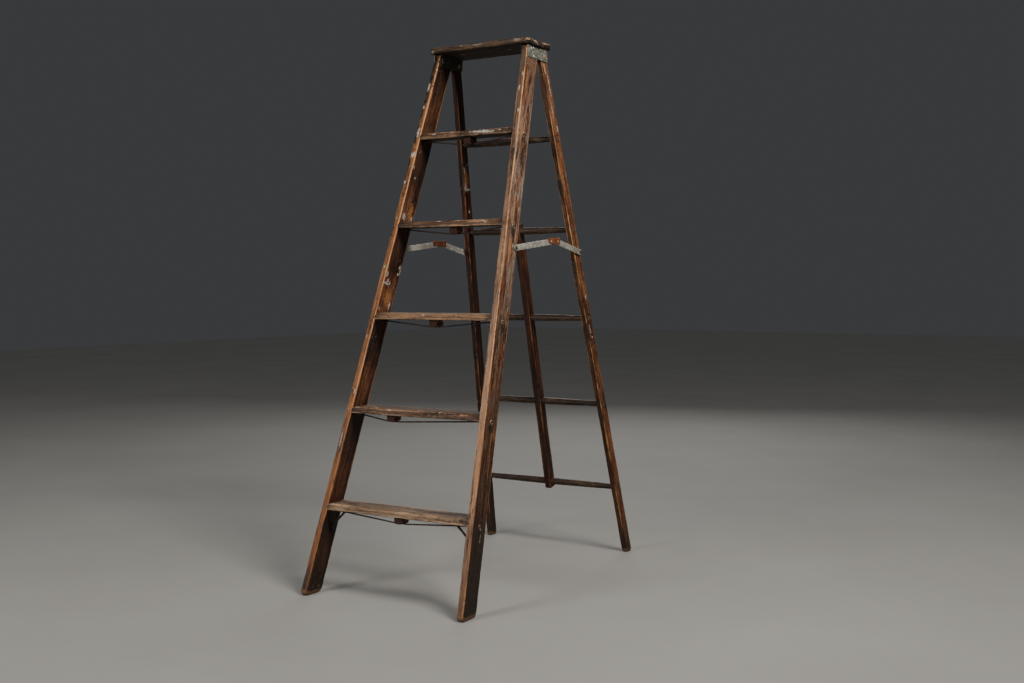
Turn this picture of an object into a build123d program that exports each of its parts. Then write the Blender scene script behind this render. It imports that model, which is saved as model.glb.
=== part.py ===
"""Antique wooden A-frame stepladder: five treads and a cap in front, a braced
four-sided rear frame with round rungs behind, and folding steel spreaders on
both sides.  Millimetres, +Z up, front towards -Y, origin on the floor at the
centre of the footprint.  It stands open, as it is used."""
import os
from math import atan2, cos, degrees, hypot, radians, sin, sqrt

from build123d import *

# ---- driving dimensions -------------------------------------------------
SPREAD = 1095.5          # floor distance from the stiles' toes to the legs' heels
Y_MID = SPREAD / 2       # the origin lies half way along it
CAP_UNDER = 1699.0       # height of the cap's underside
CAP_THICK = 20.5
CAP_HALF = 190.0         # half of the cap's length across the ladder
CAP_FRONT, CAP_REAR = 537.0, 694.0

LEAN_F = radians(18.2)   # stiles' lean from the vertical
HALF_F = 294.85          # outer half width of the stiles at the floor
TAPER_F = 0.066          # loss of half width per millimetre of slope
STILE_DEEP, STILE_THICK = 70.0, 22.0

LEAN_R = radians(13.88)  # rear legs' lean from the vertical
HALF_R = 291.5           # outer half width of the rear legs at the floor
TAPER_R = 0.06753
LEG_DEEP, LEG_THICK = 38.0, 19.0
LEG_PIVOT_S = 1731.1     # hinge pin's distance up the leg
LEG_TOP_R = LEG_DEEP / 2

TREAD_PITCH = 305.0      # one foot, along the slope
TREAD_FIRST = 276.0
TREAD_THICK = 22.0
TREADS = 5
DADO = 6.0               # how far a tread end is let into the stile

ROD_D = 4.5              # tie rod under each tread
ROD_V = 34.0             # its depth behind the stiles' front edge
ROD_DROP = 3.0           # below the tread
WASHER_D, WASHER_T = 13.5, 1.2
RIVET_D, RIVET_T = 8.2, 1.8
HEAD_STAND = 0.3         # the faces slope, so a head clears its washer by this much
BLOCK_X, BLOCK_Y, BLOCK_Z = 30.0, 35.0, 21.0
BLOCK_OFFSETS = (2.0, -95.0, -3.0, 8.0, -2.0)   # the second block has slid along its rod

BRACE_D = 7.0            # braces under the bottom tread
BRACE_IN, BRACE_DOWN = 52.0, 55.0
BRACE_TAB = 3.0

RUNG_FIRST, RUNG_PITCH, RUNGS = 247.0, 305.0, 5
RUNG_MID_D, RUNG_END_D = 24.5, 19.5
CENTRE_W, CENTRE_DEEP = 24.0, 32.0
CENTRE_LOW, CENTRE_TOP = 224.0, 1186.0

PLATE_T = 2.0            # hinge plates on both faces of each stile top
PLATE_FRONT, PLATE_REAR, PLATE_LOW = 555.5, 682.5, 1660.0
PIN_D, PIN_CLEAR = 8.0, 0.08
NAIL_D, NAIL_HEAD_D, NAIL_HEAD_T, NAIL_LONG = 2.4, 6.0, 1.0, 9.0
BOLT_D, BOLT_WASHER_D = 7.0, 17.0

BAR_W, BAR_T = 19.0, 3.0           # spreader bars
BAR_X = 221.8                      # inner face of the bars
BAR_PIN_D = 6.0
STILE_PIVOT = (1127.0, 60.0)       # (slope, depth) on the stile
LEG_PIVOT = (1084.0, 10.0)         # (slope, depth) on the leg
KNEE_F = (625.0, 1077.5)           # (y, z) of the clip's two rivets
KNEE_R = (668.0, 1079.0)
CLIP_GAP, CLIP_WALL = 0.2, 1.5


# ---- reference geometry -------------------------------------------------
def front_point(side, s, v, inset=0.0):
    """Point on a stile: s up its slope, v behind its front edge."""
    return (side * (HALF_F - TAPER_F * s - inset),
            s * sin(LEAN_F) + v * cos(LEAN_F) - Y_MID,
            s * cos(LEAN_F) - v * sin(LEAN_F))


def rear_point(side, s, v, inset=0.0):
    """Point on a rear leg: s up its slope, v in front of its rear edge."""
    return (side * (HALF_R - TAPER_R * s - inset),
            Y_MID - s * sin(LEAN_R) - v * cos(LEAN_R),
            s * cos(LEAN_R) - v * sin(LEAN_R))


def front_sv(y, z):
    """(depth, slope) of a point given in the side view, y from the toes."""
    return (y * cos(LEAN_F) - z * sin(LEAN_F),
            (y * sin(LEAN_F) + z * cos(LEAN_F)) * sqrt(1 + TAPER_F ** 2))


def front_half(y, z):
    """Outer half width of the stiles at a point of the side view, y from the toes."""
    return HALF_F - TAPER_F * (y * sin(LEAN_F) + z * cos(LEAN_F))


NORMAL_F = Vector(1, TAPER_F * sin(LEAN_F), TAPER_F * cos(LEAN_F)).normalized()
NORMAL_R = Vector(1, -TAPER_R * sin(LEAN_R), TAPER_R * cos(LEAN_R)).normalized()
# faces of the right-hand stile and leg: local x is depth, local y runs up the slope
STILE_FACE = Plane(origin=front_point(1, 0, 0), x_dir=(0, cos(LEAN_F), -sin(LEAN_F)),
                   z_dir=NORMAL_F)
LEG_FACE = Plane(origin=rear_point(1, 0, 0), x_dir=(0, -cos(LEAN_R), -sin(LEAN_R)),
                 z_dir=-NORMAL_R)
CAP_PLANE = Plane.XY.offset(CAP_UNDER)
PIVOT = rear_point(1, LEG_PIVOT_S, LEG_TOP_R)
PIVOT_Y, PIVOT_Z = PIVOT[1], PIVOT[2]


def save(piece, label):
    piece.part.label = label
    export_step(piece.part, f"parts/{label}.step")


def mirrored(piece):
    with BuildPart() as other:
        mirror(piece.part, about=Plane.YZ)
    return other


def x_pin(x0, x1, y, z, diameter):
    """Round bar along X, as a loose solid for cutting or joining."""
    with BuildPart() as bar:
        with BuildSketch(Plane(origin=(x0, y, z), x_dir=(0, 1, 0), z_dir=(1, 0, 0))):
            Circle(diameter / 2)
        extrude(amount=x1 - x0)
    return bar.part


os.makedirs("parts", exist_ok=True)

# ---- treads -------------------------------------------------------------
tread_mid = [(TREAD_FIRST + TREAD_PITCH * k) * cos(LEAN_F) for k in range(TREADS)]
tread_under = [z - TREAD_THICK / 2 for z in tread_mid]
tread_end = STILE_FACE.offset(-(STILE_THICK - DADO))
tread_end_left = Plane(origin=(-tread_end.origin.X, tread_end.origin.Y, tread_end.origin.Z),
                       z_dir=(NORMAL_F.X, -NORMAL_F.Y, -NORMAL_F.Z))


def at_depth(v, z):
    """y of the point at depth v and height z, in the ladder's frame."""
    return front_point(1, (z + v * sin(LEAN_F)) / cos(LEAN_F), v)[1]


treads = []
for k in range(TREADS):
    low, high = tread_under[k], tread_under[k] + TREAD_THICK
    outline = [(at_depth(0, low), low), (at_depth(STILE_DEEP, low), low),
               (at_depth(STILE_DEEP, high), high), (at_depth(0, high), high)]
    with BuildPart() as tread:
        with BuildSketch(Plane.YZ):
            with BuildLine():
                Polyline(*outline, close=True)
            make_face()
        extrude(amount=320, both=True)
        split(bisect_by=tread_end, keep=Keep.BOTTOM)
        split(bisect_by=tread_end_left, keep=Keep.TOP)
    treads.append(tread)

# ---- tie rods, their washers and the truss blocks ---------------------
rod_z = [z - ROD_DROP for z in tread_under]
rod_y = [at_depth(ROD_V, z) for z in rod_z]
rods, blocks = [], []
for k in range(TREADS):
    y, z = rod_y[k], rod_z[k]
    outer = front_half(y + Y_MID, z)
    inner = outer - STILE_THICK
    middle = BLOCK_OFFSETS[k]
    z_low = tread_under[k] - BLOCK_Z
    seat = outer + WASHER_T + HEAD_STAND
    spine = [(seat + 0.5, y, z), (inner - 4, y, z),
             (middle + BLOCK_X / 2 + 6, y, z_low), (middle - BLOCK_X / 2 - 6, y, z_low),
             (-inner + 4, y, z), (-seat - 0.5, y, z)]
    with BuildPart() as rod:
        with BuildLine() as path:
            FilletPolyline(*spine, radius=40)
        with BuildSketch(Plane(origin=spine[0], x_dir=(0, 1, 0), z_dir=(-1, 0, 0))):
            Circle(ROD_D / 2)
        sweep(path=path.wires()[0])
        # riveted ends, coaxial with the rod
        for side in (1, -1):
            with BuildSketch(Plane(origin=(side * seat, y, z), x_dir=(0, 1, 0),
                                   z_dir=(side, 0, 0))):
                Circle(RIVET_D / 2)
            extrude(amount=RIVET_T, taper=18)
    rods.append(rod)
    with BuildPart() as block:
        with BuildSketch(Plane.XY.offset(z_low)):
            with Locations((middle, y)):
                Rectangle(BLOCK_X, BLOCK_Y)
        extrude(amount=BLOCK_Z)
        fillet(block.edges().filter_by(Axis.Y).group_by(Axis.Z)[0], 8)
        add(rod.part, mode=Mode.SUBTRACT)
    blocks.append(block)

with BuildPart() as washers_right:
    for k in range(TREADS):
        v_rod, s_rod = front_sv(rod_y[k] + Y_MID, rod_z[k])
        with BuildSketch(STILE_FACE):
            with Locations((v_rod, s_rod)):
                Circle(WASHER_D / 2)
                Circle(ROD_D / 2 + 0.3, mode=Mode.SUBTRACT)
        extrude(amount=WASHER_T)
with BuildPart() as tie_rod_washers:
    add(washers_right.part)
    mirror(washers_right.part, about=Plane.YZ)

# ---- diagonal braces under the bottom tread ---------------------------
brace_y = at_depth(STILE_DEEP / 2, tread_under[0] - BRACE_DOWN / 2)
brace_foot_z = tread_under[0] - BRACE_DOWN
foot_x = front_half(brace_y + Y_MID, brace_foot_z) - STILE_THICK
top_x = front_half(brace_y + Y_MID, tread_under[0]) - STILE_THICK - BRACE_IN
with BuildPart() as brace_right:
    # rod between the two flattened ends
    lower = Vector(foot_x - 3.4, brace_y, brace_foot_z + 4)
    upper = Vector(top_x + 4, brace_y, tread_under[0] - 3.6)
    along = upper - lower
    with BuildSketch(Plane(origin=lower, x_dir=(0, 1, 0), z_dir=along)):
        Circle(BRACE_D / 2)
    extrude(amount=along.length)
    # upper tab lies against the tread
    with BuildSketch(Plane.XY.offset(tread_under[0] - BRACE_TAB)):
        with Locations((top_x - 5, brace_y)):
            SlotOverall(26, 12)
    extrude(amount=BRACE_TAB)
    # lower tab lies against the stile
    with BuildSketch(STILE_FACE.offset(-STILE_THICK)):
        v_foot, s_tab = front_sv(brace_y + Y_MID, brace_foot_z - 5)
        with Locations((v_foot, s_tab)):
            SlotOverall(26, 12, rotation=90 + degrees(LEAN_F))
    extrude(amount=-BRACE_TAB)
    # nothing of the rod's ends goes into the wood
    with BuildSketch(Plane.XY.offset(tread_under[0])):
        with Locations((top_x, brace_y)):
            Rectangle(80, 40)
    extrude(amount=20, mode=Mode.SUBTRACT)
    with BuildSketch(STILE_FACE.offset(-STILE_THICK)):
        with Locations((v_foot, s_tab)):
            Rectangle(60, 80)
    extrude(amount=20, mode=Mode.SUBTRACT)


def rivet(face, x, y, head_d, head_t, shank_d, shank):
    """Domed fastener whose head stands on a face and whose shank goes below it."""
    with BuildPart() as piece:
        with BuildSketch(face):
            with Locations((x, y)):
                Circle(head_d / 2)
        extrude(amount=head_t, taper=25)
        with BuildSketch(face):
            with Locations((x, y)):
                Circle(shank_d / 2)
        extrude(amount=-shank)
    return piece.part


under_tread = Plane(origin=(0, 0, tread_under[0] - BRACE_TAB), x_dir=(1, 0, 0), z_dir=(0, 0, -1))
inside_stile = Plane(origin=STILE_FACE.offset(-STILE_THICK - BRACE_TAB).origin,
                     x_dir=STILE_FACE.x_dir, z_dir=-NORMAL_F)
with BuildPart() as brace_rivets_right:
    add(rivet(under_tread, top_x - 10, -brace_y, 8.5, 1.8, 4.0, 16))
    add(rivet(inside_stile, v_foot, -s_tab + 4, 8.5, 1.8, 4.0, 14))
with BuildPart() as tread_brace_right:
    add(brace_right.part)
    add(brace_rivets_right.part, mode=Mode.SUBTRACT)
with BuildPart() as brace_rivets:
    add(brace_rivets_right.part)
    mirror(brace_rivets_right.part, about=Plane.YZ)

# ---- hinge plates, nails, bolt and pin at the top ----------------------
plate_corners = [front_sv(PLATE_FRONT, PLATE_LOW), front_sv(PLATE_REAR, PLATE_LOW),
                 front_sv(PLATE_REAR, CAP_UNDER - 0.4), front_sv(PLATE_FRONT, CAP_UNDER - 0.4)]


def plate_blank(face, amount):
    with BuildPart() as blank:
        with BuildSketch(face):
            with BuildLine():
                Polyline(*plate_corners, close=True)
            make_face()
        extrude(amount=amount)
    return blank.part


INNER_FACE = STILE_FACE.offset(-STILE_THICK)
plate_out = plate_blank(STILE_FACE, PLATE_T)
plate_in = plate_blank(INNER_FACE, -PLATE_T)
s_pivot = front_sv(PIVOT_Y + Y_MID, PIVOT_Z)[1]
pin_out = front_half(PIVOT_Y + Y_MID, PIVOT_Z) + PLATE_T
pin_in = pin_out - STILE_THICK - 2 * PLATE_T
out_face = STILE_FACE.offset(PLATE_T)
in_face = Plane(origin=STILE_FACE.offset(-STILE_THICK - PLATE_T).origin,
                x_dir=STILE_FACE.x_dir, z_dir=-NORMAL_F)
v_pivot = front_sv(PIVOT_Y + Y_MID, PIVOT_Z)[0]
with BuildPart() as hinge_pin_right:
    add(x_pin(pin_in - 1.5, pin_out + 1.5, PIVOT_Y, PIVOT_Z, PIN_D))
    with BuildSketch(out_face):
        with Locations((v_pivot, s_pivot)):
            Circle(7.5)
    extrude(amount=3.0, taper=22)
    with BuildSketch(in_face):
        with Locations((v_pivot, -s_pivot)):
            Circle(7.0)
    extrude(amount=2.6, taper=22)

# nail positions (y from the toes, z), in two staggered rows on the stile
NAILS_OUT = [(562, 1692), (577, 1689), (592, 1693), (608, 1690), (622, 1693),
             (561, 1668), (575, 1672), (590, 1666), (606, 1670)]
NAILS_IN = [(590, 1690), (606, 1692), (592, 1668), (608, 1672)]
with BuildPart() as plate_nails_right:
    for y, z in NAILS_OUT:
        v, s = front_sv(y, z)
        add(rivet(out_face, v, s, NAIL_HEAD_D, NAIL_HEAD_T, NAIL_D, NAIL_LONG))
    for y, z in NAILS_IN:
        v, s = front_sv(y, z)
        add(rivet(in_face, v, -s, NAIL_HEAD_D, NAIL_HEAD_T, NAIL_D, NAIL_LONG))
with BuildPart() as plate_nails:
    add(plate_nails_right.part)
    mirror(plate_nails_right.part, about=Plane.YZ)

bolt_v, bolt_s = front_sv(570, 1680)
with BuildPart() as hinge_bolt_right:
    add(rivet(in_face, bolt_v, -bolt_s, BOLT_WASHER_D, 1.6, BOLT_D, STILE_THICK * 0.7))
    with BuildSketch(in_face.offset(1.6)):
        with Locations((bolt_v, -bolt_s)):
            RegularPolygon(6.0, 6)
    extrude(amount=3.2)
with BuildPart() as hinge_bolts:
    add(hinge_bolt_right.part)
    mirror(hinge_bolt_right.part, about=Plane.YZ)

with BuildPart() as hinge_plate_outer_right:
    add(plate_out)
    add(hinge_pin_right.part, mode=Mode.SUBTRACT)
    add(plate_nails_right.part, mode=Mode.SUBTRACT)
with BuildPart() as hinge_plate_inner_right:
    add(plate_in)
    add(hinge_pin_right.part, mode=Mode.SUBTRACT)
    add(plate_nails_right.part, mode=Mode.SUBTRACT)
    add(hinge_bolt_right.part, mode=Mode.SUBTRACT)

# ---- spreader rivets that the stile and the leg carry -------------------
stile_pivot = front_point(1, STILE_PIVOT[0], STILE_PIVOT[1])
leg_pivot = rear_point(1, LEG_PIVOT[0], LEG_PIVOT[1])
bar_out = BAR_X + BAR_T
with BuildPart() as spreader_leg_rivet_right:
    add(x_pin(leg_pivot[0] - LEG_THICK, bar_out + 0.5, leg_pivot[1], leg_pivot[2], BAR_PIN_D))
    with BuildSketch(Plane(origin=(bar_out + 0.25, leg_pivot[1], leg_pivot[2]),
                           x_dir=(0, 1, 0), z_dir=(1, 0, 0))):
        Circle(6.5)
    extrude(amount=3.0, taper=25)
with BuildPart() as spreader_stile_rivet_right:
    add(x_pin(stile_pivot[0] + 0.6, bar_out + 0.5, stile_pivot[1], stile_pivot[2], BAR_PIN_D))
    with BuildSketch(Plane(origin=(bar_out, stile_pivot[1], stile_pivot[2]),
                           x_dir=(0, 1, 0), z_dir=(1, 0, 0))):
        Circle(6.5)
    extrude(amount=3.0, taper=25)
stile_tail_s = STILE_PIVOT[0] * sqrt(1 + TAPER_F ** 2)
in_wood = Plane(origin=STILE_FACE.offset(-STILE_THICK).origin, x_dir=STILE_FACE.x_dir,
                z_dir=-NORMAL_F)
with BuildPart() as spreader_tail_right:
    add(rivet(in_wood, STILE_PIVOT[1], -stile_tail_s, 11.0, 1.6, BAR_PIN_D, STILE_THICK))
with BuildPart() as spreader_rivet_tails:
    add(spreader_tail_right.part)
    mirror(spreader_tail_right.part, about=Plane.YZ)

# ---- stiles -------------------------------------------------------------
with BuildPart() as stile_right:
    with BuildSketch(STILE_FACE):
        with Locations((STILE_DEEP / 2, 900)):
            Rectangle(STILE_DEEP, 2000)
    extrude(amount=-STILE_THICK)
    split(bisect_by=Plane.XY, keep=Keep.TOP)
    split(bisect_by=CAP_PLANE, keep=Keep.BOTTOM)
    for tread in treads:
        add(tread.part, mode=Mode.SUBTRACT)
    for rod in rods:
        add(rod.part, mode=Mode.SUBTRACT)
    add(brace_rivets_right.part, mode=Mode.SUBTRACT)
    add(plate_nails_right.part, mode=Mode.SUBTRACT)
    add(hinge_bolt_right.part, mode=Mode.SUBTRACT)
    add(spreader_tail_right.part, mode=Mode.SUBTRACT)

# ---- cap ----------------------------------------------------------------
cap_y = (CAP_FRONT + CAP_REAR) / 2 - Y_MID
cap_top = CAP_UNDER + CAP_THICK
stile_top_x = front_half(590, CAP_UNDER) - STILE_THICK / 2
with BuildPart() as cap_nails:
    for side in (1, -1):
        for y in (586, 612):
            add(rivet(Plane.XY.offset(cap_top - 0.8), side * stile_top_x, y - Y_MID,
                      NAIL_HEAD_D, 0.8, 3.0, 45))
with BuildPart() as top_cap:
    with BuildSketch(CAP_PLANE):
        with Locations((0, cap_y)):
            RectangleRounded(2 * CAP_HALF, CAP_REAR - CAP_FRONT, 9)
    extrude(amount=CAP_THICK)
    fillet(top_cap.faces().sort_by(Axis.Z)[-1].edges(), 4)
    fillet(top_cap.faces().sort_by(Axis.Z)[0].edges(), 3)
    add(cap_nails.part, mode=Mode.SUBTRACT)
with BuildPart() as stile_nailed:
    add(stile_right.part)
    add(cap_nails.part, mode=Mode.SUBTRACT)
stile_right = stile_nailed

with BuildPart() as tread_1:
    add(treads[0].part)
    add(brace_rivets.part, mode=Mode.SUBTRACT)
treads[0] = tread_1

# ---- rear frame ---------------------------------------------------------
rung_s = [RUNG_FIRST + RUNG_PITCH * k for k in range(RUNGS)]
rungs = []
leg_face_left = Plane(origin=(-LEG_FACE.origin.X, LEG_FACE.origin.Y, LEG_FACE.origin.Z),
                      z_dir=(NORMAL_R.X, -NORMAL_R.Y, -NORMAL_R.Z))
for s in rung_s:
    centre = rear_point(1, s, LEG_DEEP / 2)
    inner = centre[0] - LEG_THICK
    profile = [(0, 0), (0, RUNG_MID_D / 2), (inner * 0.45, RUNG_MID_D / 2 - 0.6),
               (inner, RUNG_END_D / 2), (inner + 40, RUNG_END_D / 2), (inner + 40, 0)]
    with BuildPart() as rung:
        with BuildSketch(Plane(origin=(0, centre[1], centre[2]), x_dir=(1, 0, 0),
                               z_dir=(0, -1, 0))):
            with BuildLine():
                Polyline(*profile, close=True)
            make_face()
        revolve(axis=Axis((0, centre[1], centre[2]), (1, 0, 0)))
        mirror(about=Plane.YZ)
        split(bisect_by=LEG_FACE, keep=Keep.TOP)
        split(bisect_by=leg_face_left, keep=Keep.TOP)
    rungs.append(rung)

with BuildPart() as rear_leg_right:
    with BuildSketch(LEG_FACE):
        slope = sqrt(1 + TAPER_R ** 2)
        top = LEG_PIVOT_S * slope
        with Locations((LEG_DEEP / 2, (top - 60) / 2)):
            Rectangle(LEG_DEEP, top + 60)
        with Locations((LEG_DEEP / 2, top)):
            Circle(LEG_TOP_R)
    extrude(amount=LEG_THICK)
    split(bisect_by=Plane.XY, keep=Keep.TOP)
    for rung in rungs:
        add(rung.part, mode=Mode.SUBTRACT)
    add(x_pin(PIVOT[0] - 60, PIVOT[0] + 60, PIVOT_Y, PIVOT_Z, PIN_D + 2 * PIN_CLEAR),
        mode=Mode.SUBTRACT)
    add(spreader_leg_rivet_right.part, mode=Mode.SUBTRACT)

CENTRE_PLANE = Plane(origin=rear_point(0, 0, LEG_DEEP / 2), x_dir=(1, 0, 0),
                     z_dir=(0, -sin(LEAN_R), cos(LEAN_R)))
with BuildPart() as centre_stile:
    with BuildSketch(CENTRE_PLANE.offset(CENTRE_LOW)):
        Rectangle(CENTRE_W, CENTRE_DEEP)
    extrude(amount=CENTRE_TOP - CENTRE_LOW)
    for rung in rungs:
        add(rung.part, mode=Mode.SUBTRACT)


# ---- spreaders ----------------------------------------------------------
def bar(x, start, end, hole_start, hole_end):
    """Flat bar in a vertical plane between two eyes, each given as (y, z)."""
    dy, dz = end[0] - start[0], end[1] - start[1]
    with BuildPart() as strip:
        with BuildSketch(Plane(origin=(x, start[0], start[1]), x_dir=(0, dy, dz),
                               z_dir=(1, 0, 0))):
            with Locations((hypot(dy, dz) / 2, 0)):
                SlotCenterToCenter(hypot(dy, dz), BAR_W)
            Circle(hole_start / 2, mode=Mode.SUBTRACT)
            with Locations((hypot(dy, dz), 0)):
                Circle(hole_end / 2, mode=Mode.SUBTRACT)
        extrude(amount=BAR_T)
    return strip


loose = BAR_PIN_D + 2 * PIN_CLEAR
knee_f = (KNEE_F[0] - Y_MID, KNEE_F[1])
knee_r = (KNEE_R[0] - Y_MID, KNEE_R[1])
spreader_front_link_right = bar(BAR_X, (stile_pivot[1], stile_pivot[2]), knee_f,
                                BAR_PIN_D, loose)
spreader_rear_link_right = bar(BAR_X, (leg_pivot[1], leg_pivot[2]), knee_r, loose, loose)

clip_angle = atan2(knee_r[1] - knee_f[1], knee_r[0] - knee_f[0])
CLIP_IN = BAR_X - CLIP_GAP - CLIP_WALL
CLIP_OUT = BAR_X + BAR_T + CLIP_GAP + CLIP_WALL
CLIP_FRONT, CLIP_BACK = -18.0, 58.0        # along the clip from its front rivet
CLIP_LOW, CLIP_HIGH = -9.0, 12.0
clip_plane = Plane(origin=(CLIP_IN, knee_f[0], knee_f[1]),
                   x_dir=(0, cos(clip_angle), sin(clip_angle)), z_dir=(1, 0, 0))
knee_gap = hypot(knee_r[1] - knee_f[1], knee_r[0] - knee_f[0])
with BuildPart() as clip_rivets_right:
    for along in (0.0, knee_gap):
        with BuildSketch(clip_plane):
            with Locations((along, 0)):
                Circle(BAR_PIN_D / 2)
        extrude(amount=CLIP_OUT - CLIP_IN)
        with BuildSketch(clip_plane.offset(CLIP_OUT - CLIP_IN)):
            with Locations((along, 0)):
                Circle(5.0)
        extrude(amount=2.2, taper=25)
        with BuildSketch(Plane(origin=clip_plane.origin, x_dir=clip_plane.x_dir,
                               z_dir=(-1, 0, 0))):
            with Locations((along, 0)):
                Circle(4.6)
        extrude(amount=1.2, taper=25)
with BuildPart() as spreader_clip_right:
    with BuildSketch(clip_plane):
        with BuildLine():
            Polyline((CLIP_FRONT, -3.5), (CLIP_BACK - 16, CLIP_LOW), (CLIP_BACK, CLIP_LOW - 1),
                     (CLIP_BACK, CLIP_HIGH + 2.5), (CLIP_BACK - 14, CLIP_HIGH),
                     (CLIP_FRONT, CLIP_HIGH), close=True)
        make_face()
    extrude(amount=CLIP_OUT - CLIP_IN)
    with BuildSketch(clip_plane.offset(CLIP_WALL)):
        with Locations((20, -20 + CLIP_HIGH - CLIP_WALL)):
            Rectangle(200, 40)
    extrude(amount=CLIP_OUT - CLIP_IN - 2 * CLIP_WALL, mode=Mode.SUBTRACT)
    add(clip_rivets_right.part, mode=Mode.SUBTRACT)

# ---- left-hand pieces mirror the right-hand ones -----------------------
PAIRS = {"stile": stile_right, "tread_brace": tread_brace_right,
         "hinge_plate_outer": hinge_plate_outer_right,
         "hinge_plate_inner": hinge_plate_inner_right, "hinge_pin": hinge_pin_right,
         "rear_leg": rear_leg_right, "spreader_leg_rivet": spreader_leg_rivet_right,
         "spreader_stile_rivet": spreader_stile_rivet_right,
         "spreader_front_link": spreader_front_link_right,
         "spreader_rear_link": spreader_rear_link_right,
         "spreader_clip": spreader_clip_right, "clip_rivets": clip_rivets_right}
for stem, piece in PAIRS.items():
    save(piece, f"{stem}_right")
    save(mirrored(piece), f"{stem}_left")
for k in range(TREADS):
    save(treads[k], f"tread_{k + 1}")
    save(rods[k], f"tie_rod_{k + 1}")
    save(blocks[k], f"truss_block_{k + 1}")
for k in range(RUNGS):
    save(rungs[k], f"rung_{k + 1}")
for piece, label in ((top_cap, "top_cap"), (tie_rod_washers, "tie_rod_washers"),
                     (brace_rivets, "brace_rivets"), (plate_nails, "plate_nails"),
                     (hinge_bolts, "hinge_bolts"), (cap_nails, "cap_nails"),
                     (centre_stile, "centre_stile"),
                     (spreader_rivet_tails, "spreader_rivet_tails")):
    save(piece, label)

print("fold pin", round(PIVOT_Y, 3), round(PIVOT_Z, 3))
print("stile pivot", [round(c, 3) for c in stile_pivot])
print("leg pivot", [round(c, 3) for c in leg_pivot])
print("knee front", [round(c, 3) for c in knee_f], "knee rear", [round(c, 3) for c in knee_r])
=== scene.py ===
from functools import reduce
from math import atan2, cos, hypot, pi, radians, sin, sqrt

import bmesh
import bpy
import numpy as np
from mathutils import Matrix, Vector


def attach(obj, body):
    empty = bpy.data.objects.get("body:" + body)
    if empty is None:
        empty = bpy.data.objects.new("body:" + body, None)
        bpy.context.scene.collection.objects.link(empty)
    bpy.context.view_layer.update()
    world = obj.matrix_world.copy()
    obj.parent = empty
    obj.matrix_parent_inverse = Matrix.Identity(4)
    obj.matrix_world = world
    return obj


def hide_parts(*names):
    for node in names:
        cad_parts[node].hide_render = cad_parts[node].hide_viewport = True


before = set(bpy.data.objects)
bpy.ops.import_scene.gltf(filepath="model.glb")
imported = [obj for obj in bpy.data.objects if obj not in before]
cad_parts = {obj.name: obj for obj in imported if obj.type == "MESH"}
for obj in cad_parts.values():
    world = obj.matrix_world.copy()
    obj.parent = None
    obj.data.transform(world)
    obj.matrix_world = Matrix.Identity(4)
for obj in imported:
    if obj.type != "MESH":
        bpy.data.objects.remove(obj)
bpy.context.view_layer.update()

MM = 0.001

# ---------------------------------------------------------------- dimensions, as in the CAD (mm)
SPREAD = 1095.5
Y_MID = SPREAD / 2
CAP_UNDER, CAP_THICK, CAP_HALF = 1699.0, 20.5, 190.0
CAP_FRONT, CAP_REAR = 537.0 - Y_MID, 694.0 - Y_MID
LEAN_F, HALF_F, TAPER_F = radians(18.2), 294.85, 0.066
STILE_DEEP, STILE_THICK = 70.0, 22.0
LEAN_R, HALF_R, TAPER_R = radians(13.88), 291.5, 0.06753
LEG_DEEP, LEG_THICK, LEG_PIVOT_S = 38.0, 19.0, 1731.1
TREAD_FIRST, TREAD_PITCH, TREAD_THICK, TREADS = 276.0, 305.0, 22.0, 5
DADO = 6.0
ROD_R, ROD_V, ROD_DROP = 2.25, 34.0, 3.0
BLOCK_X, BLOCK_Y, BLOCK_Z = 30.0, 35.0, 21.0
BLOCK_OFFSETS = (2.0, -95.0, -3.0, 8.0, -2.0)
RUNG_FIRST, RUNG_PITCH, RUNGS = 247.0, 305.0, 5
RUNG_MID_R, RUNG_END_R = 12.25, 9.75
CENTRE_W, CENTRE_DEEP, CENTRE_LOW, CENTRE_TOP = 24.0, 32.0, 224.0, 1186.0
BAR_W, BAR_T, BAR_X = 19.0, 3.0, 221.8
STILE_PIVOT, LEG_PIVOT = (1127.0, 60.0), (1084.0, 10.0)
KNEE_F, KNEE_R = (625.0 - Y_MID, 1077.5), (668.0 - Y_MID, 1079.0)
STILE_LENGTH = 1790.0

SF, CF = sin(LEAN_F), cos(LEAN_F)
SR, CR = sin(LEAN_R), cos(LEAN_R)


def front_half(y, z):
    """Outer half width of the stiles at y, z of the row frame."""
    return HALF_F - TAPER_F * ((y + Y_MID) * SF + z * CF)


def front_point(side, s, v, inset=0.0):
    """Point on a stile: s up its slope, v behind its front edge, inset from its outer face."""
    return Vector((side * (HALF_F - TAPER_F * s - inset), s * SF + v * CF - Y_MID, s * CF - v * SF))


def rear_point(side, s, v, inset=0.0):
    """Point on a rear leg: s up its slope, v forward of its rear edge, inset from its outer face."""
    return Vector((side * (HALF_R - TAPER_R * s - inset), Y_MID - s * SR - v * CR, s * CR - v * SR))


def at_depth(v, z):
    """y at depth v behind the stiles' front edge, at height z."""
    return (z + v * SF) / CF * SF + v * CF - Y_MID


# ---------------------------------------------------------------- noise, seeded and repeatable
def lattice(ix, iy, seed):
    """Pseudo-random value in 0..1 for each pair of whole numbers."""
    h = ix.astype(np.int64) * 374761393 + iy.astype(np.int64) * 668265263 + int(seed) * 974711
    h &= 0x7FFFFFFF
    h = (h ^ (h >> 13)) * 1274126177 & 0x7FFFFFFF
    return ((h ^ (h >> 16)) & 0xFFFF) / 65535.0


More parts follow.
